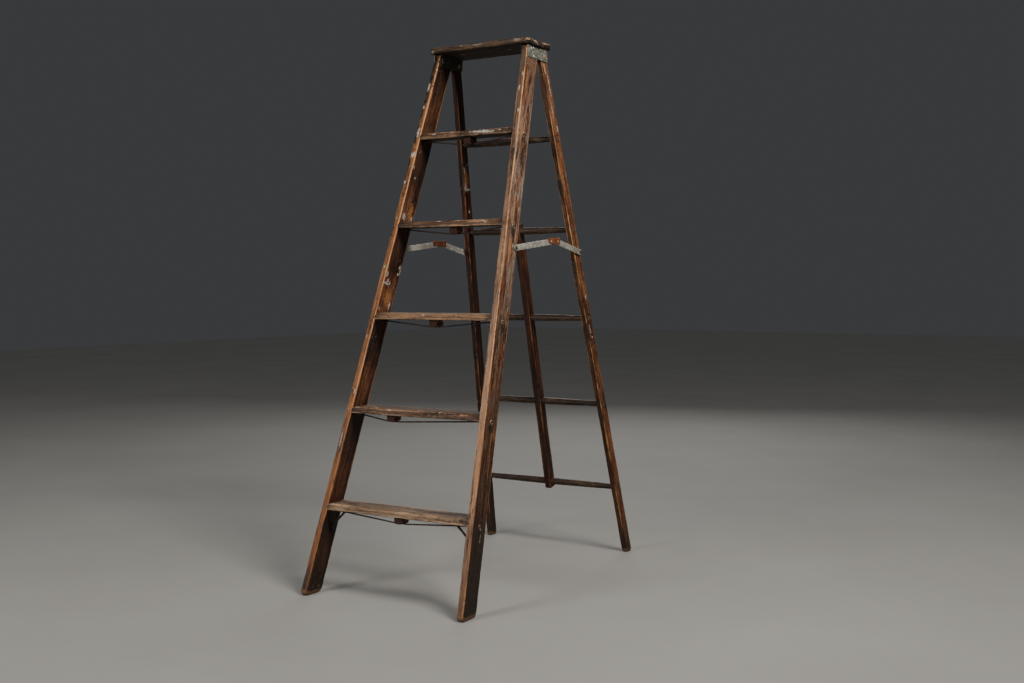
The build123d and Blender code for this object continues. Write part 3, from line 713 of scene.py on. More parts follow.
def wood(name, tones, light=0.0, streak=0.6, grey=0.3, grey_tone=DRIFT, soot=0.35, wear=0.7,
         wear_width=5.0, wear_tone=TAN, ember=0.0, front=None, along=None, paint=(),
         paint_tone=WHITE, stains=(), pale=(), speckle=0.35, smear=0.3, cracks=0.5,
         pith=(20.0, -60.0), rough=0.56, foot=None, scratches=0.4, painted_shade_faces=(), line=None,
         front_along=None, mottle=1.0, ends=None, dim=1.0, ashen=(), teal=(), splits=(), painted_shade_across=None):
    """Old varnished softwood.  Lengths are in mm, s along the grain, v across the depth from the front
    and n through the thickness.
    tones: five colours, dark to light; light shifts towards either end.
    front: (colour, share, depth) of the paler front edge.
    along, front_along: [(share of the length, brightness, warmth)], for all faces and for the front.
    sides: (n, brightness) of faces darkened with painted shade, brightness one number or a list as along.
    line: (n, width, colour) of a painted highlight along one arris, over wood worn pale there.
    ends: (reach, share) of the darkening at both ends, dirt and painted shade where the treads meet the
    stiles; foot: how high dirt reaches from the floor.
    fade: painted shade across the depth, as (v where it starts, v where it is full, brightness); dim:
    brightness of the whole.
    stains, splits, pale, ashen, teal, paint: spots, each its centre and half size as (s, v, n).
    mottle: more gives more flecks and fewer strands.  The other numbers say how much of each there is."""
    sh = Shader(name)
    g, q = sh.attr("grain"), sh.attr("gnoise")
    edge, endd = sh.attr("edge", "Fac"), sh.attr("endd", "Fac")
    gs = sh.split(g)

    def field(s, v, detail=3.0, ragged=0.6, distort=0.0):
        return sh.noise(sh.stretch(q, (s, v, v)), 1.0, detail, ragged, distort)
    # growth rings: distance from the pith, which wanders along the grain
    local = sh.vec("SUBTRACT", g, (0, pith[0] * MM, pith[1] * MM))
    radius = sh.vec("LENGTH", sh.stretch(local, (0.012, 1, 1)))
    radius = sh.add(radius, sh.mul(field(2.2, 14, 2), 0.011))
    phase = sh.mul(radius, 2 * pi / (RING_PITCH * MM))
    ring = sh.math("POWER", sh.mul(sh.add(sh.math("SINE", phase), 1.0), 0.5), 1.7)
    fibre, fine = field(9, 300, 5, 0.65), field(34, 1300, 3)
    broad, patch = field(4.2, 24, 4, 0.6, 0.4), field(13, 62, 4, 0.62, 0.6)
    strand, fleck = field(6, 165, 4, 0.62, 0.25), field(72, 230, 4, 0.72)
    value = sh.weave((broad, 0.8), (fibre, 1.9 * streak), (patch, 0.7), (strand, 1.25 / mottle),
                     (fleck, 0.95 * mottle), (fine, 0.6))
    value = sh.add(value, sh.mul(ring, -0.12))
    value = sh.add(value, 0.53 + light, clamp=True)
    colour = sh.ramp(value, list(zip((0.0, 0.27, 0.5, 0.74, 1.0), tones)))
    if ember:
        m = sh.span(field(3.6, 120, 3), 0.50, 0.64, 0.0, ember)
        colour = sh.mix(m, colour, sh.mix(sh.span(fibre, 0.3, 0.7), rgb(58, 24, 13), rgb(168, 90, 48)))
    # bare, weathered wood
    m = sh.weave((patch, 1.0), (fleck, 0.9), (strand, 0.8))
    m = sh.span(m, 0.14 - 0.34 * grey, 0.34 - 0.34 * grey, 0.0, min(1.0, 0.45 + grey))
    colour = sh.mix(m, colour, sh.mix(sh.span(fibre, 0.28, 0.68), darker(grey_tone, 0.3),
                                      grey_tone))
    if front:
        tone, share, deep = front
        m = sh.sub(gs[1], sh.mul(patch, deep * 0.8 * MM))
        m = sh.span(m, deep * MM, deep * 0.25 * MM)
        m = sh.mul(m, sh.span(sh.weave((broad, 1.2), (fibre, 0.9)),
                                           -0.22, 0.12, 0.25 * share, share))
        colour = sh.mix(m, colour, sh.mix(sh.span(fibre, 0.28, 0.66), darker(tone, 0.34), tone))
    # long dark marks that follow the grain
    colour = sh.mix(sh.span(field(6.5, 190, 3), 0.57, 0.68, 0.0, 0.75), colour, UMBER)
    # soot and flaked varnish
    m = sh.weave((field(110, 340, 4, 0.72), 1.1), (field(9, 40, 3), 1.1))
    m = sh.span(m, 0.24 - 0.28 * soot, 0.33 - 0.26 * soot, 0.0, 0.85)
    colour = sh.mix(m, colour, CHARCOAL)
    # scuffs down to paler wood
    m = sh.weave((field(52, 560, 3, 0.75), 1.0), (field(14, 48, 3), 1.2))
    m = sh.span(m, 0.24 - 0.16 * scratches, 0.36 - 0.14 * scratches, 0.0, 0.75)
    colour = sh.mix(m, colour, wear_tone)
    share = sh.math("DIVIDE", gs[0], STILE_LENGTH * MM)
    at_front = sh.span(gs[1], 0.0042, 0.0016)

    def profile(stops):
        return sh.ramp(share, [(p, (b, b * c, b * c * c, 1)) for p, b, c in stops])
    if along:
        bright = profile(along)
        if front_along:
            bright = sh.mix(at_front, bright, profile(front_along))
        colour = sh.tint(colour, bright)
    # both ends darker: dirt and painted shade where the board meets the stiles
    if ends:
        m = sh.add(endd, sh.centred(patch, 0.05))
        colour = sh.mix(sh.span(m, ends[0] * MM, 0.2 * ends[0] * MM, 0.0, ends[1]), colour, UMBER)
    if dim != 1.0:
        colour = sh.tint(colour, (dim, dim, dim, 1))
    # painted shade over one side of the depth, the side that faces into the ladder's shade
    if painted_shade_across:
        colour = sh.mix(sh.span(gs[1], painted_shade_across[0] * MM, painted_shade_across[1] * MM), colour,
                        sh.tint(colour, (painted_shade_across[2], painted_shade_across[2], painted_shade_across[2], 1)))
    # painted shade: whole faces, such as undersides and inner faces, darkened where shade falls on them
    for at, dark in painted_shade_faces:
        m = sh.span(sh.math("ABSOLUTE", sh.sub(gs[2], at * MM)), 0.0035, 0.0012)
        m = sh.mul(m, sh.span(patch, 0.25, 0.6, 1.0, 0.8))
        shade = profile(dark) if isinstance(dark, list) else (dark, dark * 0.94, dark * 0.88, 1)
        colour = sh.mix(m, colour, sh.tint(colour, shade))
    # worn arrises
    if wear:
        reach = sh.weave((field(34, 150, 4, 0.7), 2.4 * wear_width * MM),
                         (field(7, 9, 2, 0.5), 3.4 * wear_width * MM))
        m = sh.add(sh.sub(reach, edge), wear_width * (0.55 + 0.45 * wear) * MM)
        m = sh.span(m, -0.1 * wear_width * MM, 0.75 * wear_width * MM, 0.0, 0.95)
        worn = sh.mix(sh.span(fibre, 0.32, 0.66), darker(wear_tone, 0.42), wear_tone)
        colour = sh.mix(m, colour, worn)
    # a painted highlight along one arris, over wood worn pale there, fainter towards the foot
    if line:
        at, width, tone = line
        off = sh.add(gs[1], sh.math("ABSOLUTE", sh.sub(gs[2], at * MM)))
        off = sh.add(off, sh.centred(field(21, 40, 3, 0.6), 0.9 * width * MM))
        off = sh.add(off, sh.centred(field(150, 300, 3, 0.7), 0.7 * width * MM))
        m = sh.span(off, width * MM, 0.45 * width * MM, 0.0, 0.9)
        m = sh.mul(m, sh.span(sh.add(fleck, sh.centred(patch, 0.8)), 0.33, 0.46, 0.35, 1.0))
        m = sh.mul(m, sh.span(share, 0.0, 0.35, 0.5, 1.0))
        glint_tone = sh.mix(sh.span(share, 0.1, 0.5), rgb(150, 96, 54), tone)
        colour = sh.mix(m, colour, sh.mix(sh.span(fibre, 0.28, 0.52), UMBER, glint_tone))
    # dirt up from the floor
    if foot:
        m = sh.add(gs[0], sh.centred(patch, 0.22))
        m = sh.span(m, 0.3 * foot * MM, 1.2 * foot * MM, 0.86, 0.0)
        if front_along:
            m = sh.mul(m, sh.sub(1.0, at_front))
        dirt = sh.mix(sh.span(fibre, 0.3, 0.7), rgb(11, 8, 6), rgb(46, 33, 24))
        colour = sh.mix(m, colour, sh.mix(sh.span(fleck, 0.52, 0.66, 0.0, 0.8), dirt, rgb(88, 68, 50)))
        tip = sh.span(sh.sub(endd, sh.mul(fibre, 0.014)), 0.006, 0.0, 0.0, 0.7)
        colour = sh.mix(tip, colour, rgb(112, 84, 58))
    spread = sh.noise(sh.stretch(g, (110, 230, 230)), 1.0, 5.0, 0.78)
    wob = sh.add(sh.centred(spread, 4.6), 0.12)
    if pale:
        m = blobs_mask(sh, g, wob, pale)
        colour = sh.mix(sh.mul(m, 0.8), colour, sh.mix(fibre, OAK, wear_tone))
    if ashen:
        wave = sh.math("SINE", sh.mul(sh.add(gs[0], sh.centred(patch, 0.004)), 2 * pi / (SAW_PITCH * MM)))
        m = blobs_mask(sh, g, sh.centred(patch, 0.7), ashen)
        colour = sh.mix(sh.mul(m, 0.95), colour,
                        sh.mix(sh.span(wave, -0.6, 0.6), rgb(52, 38, 31), rgb(140, 104, 80)))
    # charcoal stains round iron
    if stains:
        m = blobs_mask(sh, g, wob, stains)
        colour = sh.mix(sh.mul(m, 0.85), colour, sh.mix(fibre, CHARCOAL, rgb(44, 30, 22)))
    # cracks
    crack = None
    if cracks:
        near = sh.math("ABSOLUTE", sh.sub(field(2.6, 210, 2, 0.5), 0.5))
        crack = sh.mul(sh.span(near, 0.013, 0.003),
                        sh.span(field(5, 12, 1, 0.5), 0.58 - 0.08 * cracks, 0.62 - 0.08 * cracks))
        colour = sh.mix(sh.mul(crack, 0.9), colour, rgb(12, 8, 6))
    if splits:
        m = blobs_mask(sh, g, sh.centred(patch, 0.9), splits)
        colour = sh.mix(sh.mul(m, 0.92), colour, rgb(20, 14, 11))
    # paint: drips where they are, and a scatter of specks and smears
    coat = blobs_mask(sh, g, wob, paint)
    dots = sh.cells(sh.stretch(q, (95, 150, 150)), 1.0)
    some = field(19, 37, 2, 0.5)
    size = sh.span(some, 0.56 - 0.08 * speckle, 0.78 - 0.08 * speckle, -0.02, 0.22)
    size = sh.add(size, sh.centred(spread, 0.22))
    m = sh.span(sh.sub(size, dots), 0.0, 0.05, 0.0, 0.85)
    coat = sh.most(coat, m)
    if smear:
        m = sh.weave((field(62, 190, 5, 0.72), 1.0), (field(6, 33, 2), 1.1))
        m = sh.span(m, 0.40 - 0.14 * smear, 0.46 - 0.12 * smear, 0.0, 0.7)
        coat = sh.most(coat, m)
    if teal:
        colour = sh.mix(blobs_mask(sh, g, wob, teal), colour, rgb(96, 178, 146))
    flaked = sh.noise(sh.stretch(g, (240, 420, 420)), 1.0, 3.0, 0.7)
    coat = sh.mul(coat, sh.span(flaked, 0.38, 0.52, 0.12, 1.0))
    colour = sh.mix(coat, colour, sh.mix(sh.span(flaked, 0.35, 0.65),
                                         darker(paint_tone, 0.5), paint_tone))
    sh.put(sh.bsdf.inputs["Base Color"], colour)
    # the old finish still shines where it survives
    r = sh.add(sh.centred(patch, 0.7), rough)
    r = sh.add(r, sh.centred(fibre, 0.3), clamp=True)
    sh.put(sh.bsdf.inputs["Roughness"], r)
    sh.bsdf.inputs["Specular IOR Level"].default_value = 0.3
    # relief
    h = sh.weigh((fibre, 0.55), (fine, 0.2), (ring, -0.12), (patch, 0.8))
    if crack is not None:
        h = sh.add(h, sh.mul(crack, -1.2))
    h = sh.add(h, sh.mul(coat, 0.3))
    sh.relief(h, 0.7, 0.0014)
    return sh.mat


def end_grain(name, dark, light, splinter=0.0):
    """Sawn or worn ends of the boards."""
    sh = Shader(name)
    g, q = sh.attr("grain"), sh.attr("gnoise")
    local = sh.stretch(sh.vec("SUBTRACT", g, (0, 0.02, -0.06)), (0, 1, 1))
    radius = sh.add(sh.vec("LENGTH", local),
                     sh.mul(sh.noise(sh.stretch(q, (1, 40, 40)), 1.0, 2.0), 0.008))
    phase = sh.mul(radius, 2 * pi / (END_RING_PITCH * MM))
    ring = sh.mul(sh.add(sh.math("SINE", phase), 1.0), 0.5)
    pores = sh.noise(sh.stretch(q, (900, 900, 900)), 1.0, 3.0, 0.7)
    holes = sh.noise(sh.stretch(q, (150, 150, 150)), 1.0, 3.0, 0.6)
    value = sh.weigh((ring, 0.4), (pores, 0.6))
    colour = sh.ramp(value, [(0.2, dark), (0.75, light)])
    m = sh.span(holes, 0.56, 0.64, 0.0, 0.85)
    colour = sh.mix(m, colour, rgb(14, 10, 8))
    if splinter:
        bits = sh.noise(sh.stretch(q, (80, 52, 120)), 1.0, 4.0, 0.7, 0.5)
        high = sh.span(sh.split(g)[2], 0.006, 0.02, -0.05, 0.07)
        m = sh.span(sh.add(bits, high), 0.52, 0.57, 0.0, splinter)
        colour = sh.mix(m, colour, sh.mix(sh.span(pores, 0.4, 0.6), rgb(132, 88, 54), rgb(184, 160, 130)))
    sh.put(sh.bsdf.inputs["Base Color"], colour)
    sh.bsdf.inputs["Roughness"].default_value = 0.86
    sh.relief(sh.weigh((pores, 0.5), (holes, -1.0)), 0.7, 0.0012)
    return sh.mat


def metal(name, tones, rust=0.0, rust_tones=(), spangle=0.0, shine=0.3, rough=0.5, soil=0.35, scale=1.0,
          brush=None, pits=0.0):
    """Iron and galvanised sheet: mottled, stained, rusting.  tones are three, dark to light, and
    rust_tones two; brush stretches a grain along one axis, pits is how strong its pits are."""
    sh = Shader(name)
    p = sh.node("TexCoord").outputs["Object"]
    mottle = sh.noise(p, 95 * scale, 4.0, 0.62, 0.3)
    grit = sh.noise(p, 620 * scale, 3.0, 0.7)
    broad = sh.noise(p, 26 * scale, 3.0, 0.6)
    value = sh.weigh((mottle, 0.75), (grit, 0.3))
    if spangle:
        cell = sh.node("SeparateColor", sh.cells(p, 260 * scale, out="Color")).outputs[0]
        value = sh.add(value, sh.centred(cell, spangle))
    if brush:
        lines = sh.noise(sh.stretch(p, brush), 1.0, 3.0, 0.6)
        value = sh.add(value, sh.centred(lines, 0.3))
    colour = sh.ramp(value, [(0.36, tones[0]), (0.55, tones[1]), (0.72, tones[2])])
    if soil:
        colour = sh.mix(sh.span(broad, 0.5, 0.68, 0.0, soil), colour, rgb(38, 32, 27))
    if pits:
        spot = sh.add(sh.cells(p, 125), sh.centred(grit, 0.9))
        spot = sh.sub(spot, sh.span(mottle, 0.42, 0.62, 0.0, 0.3))
        colour = sh.mix(sh.span(spot, 0.26, 0.1, 0.0, pits), colour, rgb(50, 40, 32))
        glint = sh.noise(p, 190, 3.0, 0.7)
        colour = sh.mix(sh.span(glint, 0.57, 0.66, 0.0, 0.8), colour, rgb(206, 202, 190))
    if rust:
        where = sh.weigh((mottle, 0.5), (broad, 0.4), (grit, 0.16))
        rusted = sh.span(where, 0.66 - 0.3 * rust, 0.74 - 0.28 * rust)
        colour = sh.mix(rusted, colour, sh.mix(sh.span(grit, 0.35, 0.65), *rust_tones))
        sh.put(sh.bsdf.inputs["Metallic"], sh.mul(sh.sub(1.0, rusted), shine))
        base = sh.add(sh.mul(rusted, 0.3), rough)
        sh.put(sh.bsdf.inputs["Roughness"], sh.add(base, sh.mul(mottle, 0.12), clamp=True))
    else:
        sh.bsdf.inputs["Metallic"].default_value = shine
        sh.put(sh.bsdf.inputs["Roughness"], sh.add(sh.mul(mottle, 0.2), rough - 0.1, clamp=True))
    sh.put(sh.bsdf.inputs["Base Color"], colour)
    sh.relief(sh.weigh((mottle, 0.7), (grit, 0.35)), 0.5, 0.0006)
    return sh.mat


# ---------------------------------------------------------------- finishes
RED = (rgb(24, 14, 10), rgb(64, 34, 22), rgb(106, 62, 39), rgb(142, 92, 60), rgb(178, 124, 82))
BROWN = (rgb(32, 22, 16), rgb(68, 46, 33), rgb(106, 76, 54), rgb(142, 108, 80), rgb(172, 138, 106))
GREYED = (rgb(44, 34, 27), rgb(88, 69, 54), rgb(130, 105, 82), rgb(162, 136, 108), rgb(188, 162, 132))
RUSSET = (rgb(28, 16, 11), rgb(76, 44, 28), rgb(118, 74, 47), rgb(152, 104, 68), rgb(184, 136, 94))
DARK_END = end_grain("end_dark", rgb(34, 24, 17), rgb(104, 80, 58))
BLOCK_END = end_grain("end_block", rgb(20, 11, 8), rgb(74, 40, 26))
RAGGED_END = end_grain("end_ragged", rgb(9, 7, 5), rgb(50, 37, 27), splinter=0.85)

# brightness up the right stile by share of its length: painted light and shade, brightest about seven tenths
# up and darkest towards the foot
right_stile_light = [(0.0, 0.2, 0.95), (0.1, 0.19, 0.92), (0.17, 0.35, 0.84), (0.3, 0.48, 0.86), (0.43, 0.7, 0.95),
              (0.5, 0.8, 1.05), (0.56, 1.05, 1.1), (0.7, 1.22, 1.15), (0.85, 1.1, 1.1), (0.91, 1.0, 0.98),
              (1.0, 0.85, 0.9)]
right_front = [(0.0, 0.32, 0.88), (0.06, 0.6, 0.88), (0.13, 0.9, 0.9), (0.18, 1.4, 0.97), (0.45, 1.15, 1.03),
               (0.55, 0.8, 1.02), (0.7, 0.92, 1.03), (0.8, 0.84, 1.02), (0.88, 0.47, 1.02), (1.0, 0.42, 1.04)]
rivet_stains = [((TREAD_FIRST + TREAD_PITCH * k - 18, 37, 0), (24, 13, 5)) for k in range(TREADS)]
# painted shadow: the left stile's inner face is darkest just under each tread, where the treads shade it, and
# brighter just above
LEFT_INNER_SHADOW = [(0.0, 0.12, 0.92)]
for k, clear in enumerate((0.42, 0.42, 0.72, 0.75, 0.42)):
    s = TREAD_FIRST + TREAD_PITCH * k
    LEFT_INNER_SHADOW += [((s + off) / STILE_LENGTH, bright, warmth) for off, bright, warmth in
                   ((-12, 0.12, 0.92), (12, clear, 0.96), (125, clear, 0.95), (165, 0.12, 0.92))]
# each wood's look; on the treads and the cap, s is counted from the middle of the ladder
SKINS = {}
SKINS["stile_right"] = wood(
    "stile_right_wood", RED, light=0.06, streak=0.8, grey=0.6, grey_tone=rgb(142, 122, 106), soot=0.5,
    ember=0.6, wear=0.8, wear_width=4.4, wear_tone=rgb(186, 140, 98), along=right_stile_light, foot=330,
    front=(rgb(158, 122, 96), 0.8, 3.5), front_along=right_front, scratches=0.55,
    line=(0.0, 4.6, rgb(218, 158, 102)),
    stains=rivet_stains + [((1425, 40, 0), (30, 13, 6)), ((1395, 52, 0), (40, 7, 6)),
                           ((1580, 46, 0), (16, 5, 6))],
    splits=[((1680, 36, 0), (21, 4.5, 5)), ((1650, 38, 0), (22, 1.6, 5)), ((1150, 44, 0), (14, 1.5, 5)),
            ((1560, 58, 0), (30, 1.3, 5)), ((1470, 30, 0), (20, 1.2, 5))],
    ashen=[((1734, 34, 0), (16, 33, 5)), ((1662, 26, 0), (30, 4, 5))], teal=[((1602, 52, 0), (3, 2, 3))],
    pale=[((1668, 20, 0), (36, 8, 5)), ((1110, 30, 0), (44, 9, 5)), ((1500, 20, 0), (50, 10, 5)),
          ((1240, 30, 0), (50, 9, 5)), ((520, 44, 0), (58, 1.8, 4)), ((430, 47, 0), (54, 1.5, 4)),
          ((430, 0, 9), (130, 5, 7)), ((560, 0, 6), (60, 4, 5))],
    paint=[((1562, 0, 8), (8, 3, 3)), ((1640, 0, 13), (14, 3, 2)), ((1688, 0, 6), (6, 3, 3)),
           ((266, 42, 0), (4, 4, 3)), ((240, 45, 0), (15, 2, 3)), ((1130, 46, 0), (8, 4, 3)),
           ((1330, 18, 0), (10, 2, 3)), ((930, 56, 0), (5, 3, 3)), ((573, 38, 0), (6, 3, 3))],
    speckle=0.35, smear=0.3, cracks=1.0, pith=(95.0, 40.0), painted_shade_faces=((22.0, 0.5),))
# left stile: painted shade towards its rear, on its outer face and under each tread on its inner face
SKINS["stile_left"] = wood(
    "stile_left_wood", RED, light=0.03, painted_shade_across=(38.0, 68.0, 0.6), streak=0.6, grey=0.3,
    grey_tone=rgb(120, 94, 78), soot=0.45, ember=0.55, wear=0.8, wear_width=5.0, wear_tone=rgb(174, 116, 68),
    front=(rgb(146, 94, 54), 0.9, 3.5),
    along=[(0.0, 0.74, 0.94), (0.2, 0.93, 0.96), (0.42, 1.08, 0.98), (0.6, 0.95, 0.99), (0.8, 0.88, 1.03),
           (1.0, 0.88, 1.06)],
    foot=110, line=(20.5, 3.7, rgb(200, 146, 100)),
    paint=[((1672, 0, 5), (14, 4, 4)), ((485, 0, 9), (36, 3, 3)), ((640, 0, 14), (9, 3, 3)),
           ((820, 0, 7), (8, 3, 2)), ((1215, 0, 8), (5, 3, 3)), ((1338, 0, 5), (6, 3, 3)),
           ((1435, 0, 11), (10, 4, 9)), ((1512, 0, 9), (17, 4, 6)), ((1600, 0, 6), (8, 3, 3)),
           ((1029, 8, 22), (12, 5.5, 3)), ((998, 16, 22), (5, 17, 4)), ((1009, 19, 22), (9, 5, 3)),
           ((1005, 31, 22), (7, 4, 3)), ((914, 10, 22), (6, 4.5, 3)), ((1067, 61, 22), (8, 6, 3)),
           ((1056, 66, 22), (12, 3.4, 3)), ((1044, 59, 22), (5, 6, 3)), ((1227, 18, 22), (13, 10, 3)),
           ((1232, 58, 22), (9, 5, 3)), ((1392, 7, 22), (6, 5, 3)), ((1362, 26, 22), (4, 4, 3)),
           ((936, 54, 22), (17, 5, 3))],
    splits=[((1752, 0, 4), (34, 14, 9)), ((1705, 0, 7), (13, 12, 8)), ((1660, 0, 3), (20, 12, 7)),
            ((1622, 0, 7), (8, 8, 5)), ((1578, 0, 3), (22, 10, 6)), ((1500, 0, 2), (26, 10, 6)),
            ((1405, 0, 3), (18, 8, 5))],
    stains=[((1054, 55, 22), (14, 9, 4)), ((1020, 66, 22), (40, 6, 4)), ((1730, 0, 4), (90, 30, 19)),
            ((1640, 0, 2), (60, 24, 14)), ((1530, 0, 1), (40, 8, 5)), ((1390, 0, 1), (40, 8, 5)),
            ((1180, 0, 2), (30, 8, 4))],
    teal=[((1051, 0, 8), (5, 3, 3.5))], pale=[((1250, 46, 22), (36, 14, 4)), ((958, 36, 22), (32, 20, 4))],
    speckle=0.5, smear=0.45, cracks=0.8, pith=(-60.0, 45.0), painted_shade_faces=((22.0, LEFT_INNER_SHADOW), (0.0, 0.8)))
TREAD_LOOKS = (
    dict(tones=GREYED, light=-0.04, grey=0.5, grey_tone=rgb(138, 117, 97), wear_tone=rgb(176, 146, 114),
         wear_width=9.0, front=(rgb(152, 121, 94), 0.85, 9.0), speckle=0.4, smear=0.62, scratches=0.7,
         stains=[((234, 0, 14), (9, 6, 7)), ((-190, 30, 22), (24, 12, 4)), ((40, 46, 22), (40, 9, 4)),
                 ((120, 30, 22), (60, 5, 4)), ((140, 40, 22), (80, 15, 4))]),
    dict(tones=BROWN, light=-0.06, grey=0.45, grey_tone=rgb(118, 100, 88), wear_tone=rgb(158, 130, 106),
         wear_width=5.0, front=(rgb(106, 70, 48), 0.7, 4.0),
         pale=[((-96, 1, 17), (46, 5, 3)), ((-10, 1, 18), (60, 5, 2.4)), ((70, 2, 19), (60, 4, 2.2)),
               ((176, 1, 15), (16, 3, 3))],
         paint=[((90, 3, 20), (10, 3, 3)), ((-150, 12, 22), (8, 5, 3)), ((-90, 1, 17), (7, 3, 1.8))],
         speckle=0.5, smear=0.6),
    dict(tones=GREYED, light=-0.03, grey=0.4, grey_tone=rgb(136, 110, 86), wear_tone=rgb(172, 136, 100),
         wear_width=5.5, front=(rgb(150, 112, 82), 0.85, 5.0),
         paint=[((-30, 2, 14), (6, 4, 3)), ((150, 20, 22), (12, 4, 3))], speckle=0.35, smear=0.35),
    dict(tones=BROWN, light=-0.14, grey=0.35, grey_tone=rgb(104, 82, 66), wear_tone=rgb(168, 136, 104),
         wear_width=6.0, front=(rgb(102, 72, 50), 0.6, 4.0),
         pale=[((110, 0, 15), (50, 4, 4))],
         paint=[((136, 0, 12), (3.6, 2.4, 3)), ((128, 0, 15), (3, 2, 2)), ((-40, 0, 19), (9, 2, 2)),
                ((-90, 10, 22), (6, 4, 3))], speckle=0.35, smear=0.3),
    dict(tones=BROWN, light=-0.04, grey=0.4, grey_tone=rgb(120, 98, 80), wear_tone=rgb(156, 122, 92),
         wear_width=5.5, front=(rgb(116, 86, 62), 0.7, 4.0),
         paint=[((56, 2, 13), (46, 5, 5)), ((84, 2, 10), (26, 5, 3)), ((-120, 2, 15), (10, 3, 3)),
                ((128, 0, 14), (5, 3, 3)), ((-20, 26, 22), (16, 9, 3))], speckle=0.5, smear=0.6))
for k, look in enumerate(TREAD_LOOKS):
    SKINS[f"tread_{k + 1}"] = wood(f"tread_{k + 1}_wood", soot=0.42, wear=0.85, cracks=0.9, mottle=1.9,
                                   ends=(34.0, 0.75), pith=(30.0, -50.0 + 14 * k), rough=0.66,
                                   dim=(0.84, 0.78, 0.84, 0.78, 0.92)[k], painted_shade_faces=((0.0, 0.1), (22.0, 0.85)),
                                   **look)
SKINS["cap"] = wood(
    "cap_wood", BROWN, light=-0.2, grey=0.4, grey_tone=rgb(112, 94, 76), soot=0.6, wear=0.8, wear_width=3.4,
    wear_tone=rgb(150, 118, 86), painted_shade_faces=((0.0, 0.2),), speckle=0.4, smear=0.5, cracks=1.3,
    front=(rgb(92, 73, 56), 0.6, 5.0), mottle=1.4, scratches=0.5,
    paint=[((-174, 2, 6), (10, 6, 6)), ((2, 2, 13), (22, 5, 3)), ((150, 2, 14), (15, 5, 6)),
           ((-60, 2, 15), (9, 4, 2)), ((-95, 62, 0), (11, 10, 3)), ((78, 74, 0), (9, 8, 3))],
    paint_tone=rgb(148, 136, 120), dim=0.8, pith=(80.0, -70.0), rough=0.7)
# right leg: painted shade on its front face
SKINS["leg_right"] = wood(
    "leg_right_wood", RUSSET, light=-0.06, painted_shade_across=(28.0, 36.0, 0.36), mottle=1.3, streak=0.9, grey=0.25,
    soot=0.42, wear=0.7, wear_width=3.4, wear_tone=rgb(190, 140, 92), foot=90, speckle=0.3, smear=0.35,
    cracks=0.7, ember=0.3,
    along=[(0.0, 0.85, 0.94), (0.3, 0.88, 0.9), (0.5, 1.06, 0.96), (0.7, 1.06, 0.97), (1.0, 1.02, 1.0)],
    stains=[((RUNG_FIRST + RUNG_PITCH * k, LEG_DEEP / 2, 0), (15, 12, 4)) for k in range(RUNGS)],
    paint=[((1640, 12, 0), (48, 2.6, 3)), ((1560, 20, 0), (34, 2.4, 3)), ((1690, 24, 0), (20, 3, 3)),
           ((930, 14, 0), (10, 4, 3)), ((815, 22, 0), (24, 3, 3)), ((790, 17, 0), (4, 7, 3)),
           ((1495, 8, 0), (14, 3, 3))],
    pith=(-50.0, 30.0))
# left leg: darker overall, painted shade for the shade it stands in behind the treads
SKINS["leg_left"] = wood(
    "leg_left_wood", RED, light=-0.26, dim=0.72, painted_shade_across=(18.0, 34.0, 0.42), painted_shade_faces=((19.0, 0.45),), streak=0.4,
    grey=0.15, soot=0.22, wear=0.6, wear_width=3.0, wear_tone=rgb(160, 96, 58), foot=90, speckle=0.4,
    smear=0.3, cracks=0.3, ember=0.7, pale=[((1352, 24, 19), (44, 15, 4))],
    paint=[((1312, 16, 19), (5, 14, 4)), ((1324, 31, 19), (15, 6, 4)), ((1384, 30, 19), (16, 3, 3)),
           ((1398, 10, 19), (7, 3, 3)), ((1236, 18, 19), (6, 5, 3))],
    pith=(60.0, 40.0))
# centre stile: darker overall, painted shade for the shade it stands in behind the treads
SKINS["centre"] = wood(
    "centre_wood", RED, light=-0.2, painted_shade_across=(12.0, 28.0, 0.5), dim=0.85, streak=0.5, grey=0.15, soot=0.28,
    wear=0.6, ember=0.6, wear_width=2.8, wear_tone=rgb(140, 90, 56), speckle=0.2, smear=0.15)
# rungs: painted shade on their front sides
SKINS["rung"] = wood(
    "rung_wood", BROWN, light=-0.16, painted_shade_across=(28.0, 12.0, 0.42), mottle=1.8, streak=0.6, grey=0.35, soot=0.5,
    wear=0.0, speckle=0.4, smear=0.5, cracks=0.4, scratches=0.8, wear_tone=rgb(160, 130, 98))
SKINS["block"] = wood(
    "block_wood", RED, light=-0.2, streak=0.5, grey=0.1, soot=0.5, wear=0.5, ember=0.3, wear_width=2.6,
    wear_tone=rgb(118, 76, 46), speckle=0.1, smear=0.0, cracks=0.0)

IRON = metal(
    "dark_iron", (rgb(24, 20, 18), rgb(46, 38, 33), rgb(84, 72, 62)), rust=0.42,
    rust_tones=(rgb(44, 26, 18), rgb(96, 56, 32)), shine=0.5)
ZINC = metal(
    "zinc_sheet", (rgb(88, 89, 83), rgb(124, 126, 118), rgb(160, 162, 153)), rust=0.13,
    rust_tones=(rgb(92, 66, 46), rgb(142, 104, 70)), spangle=0.16, soil=0.25, pits=0.85)
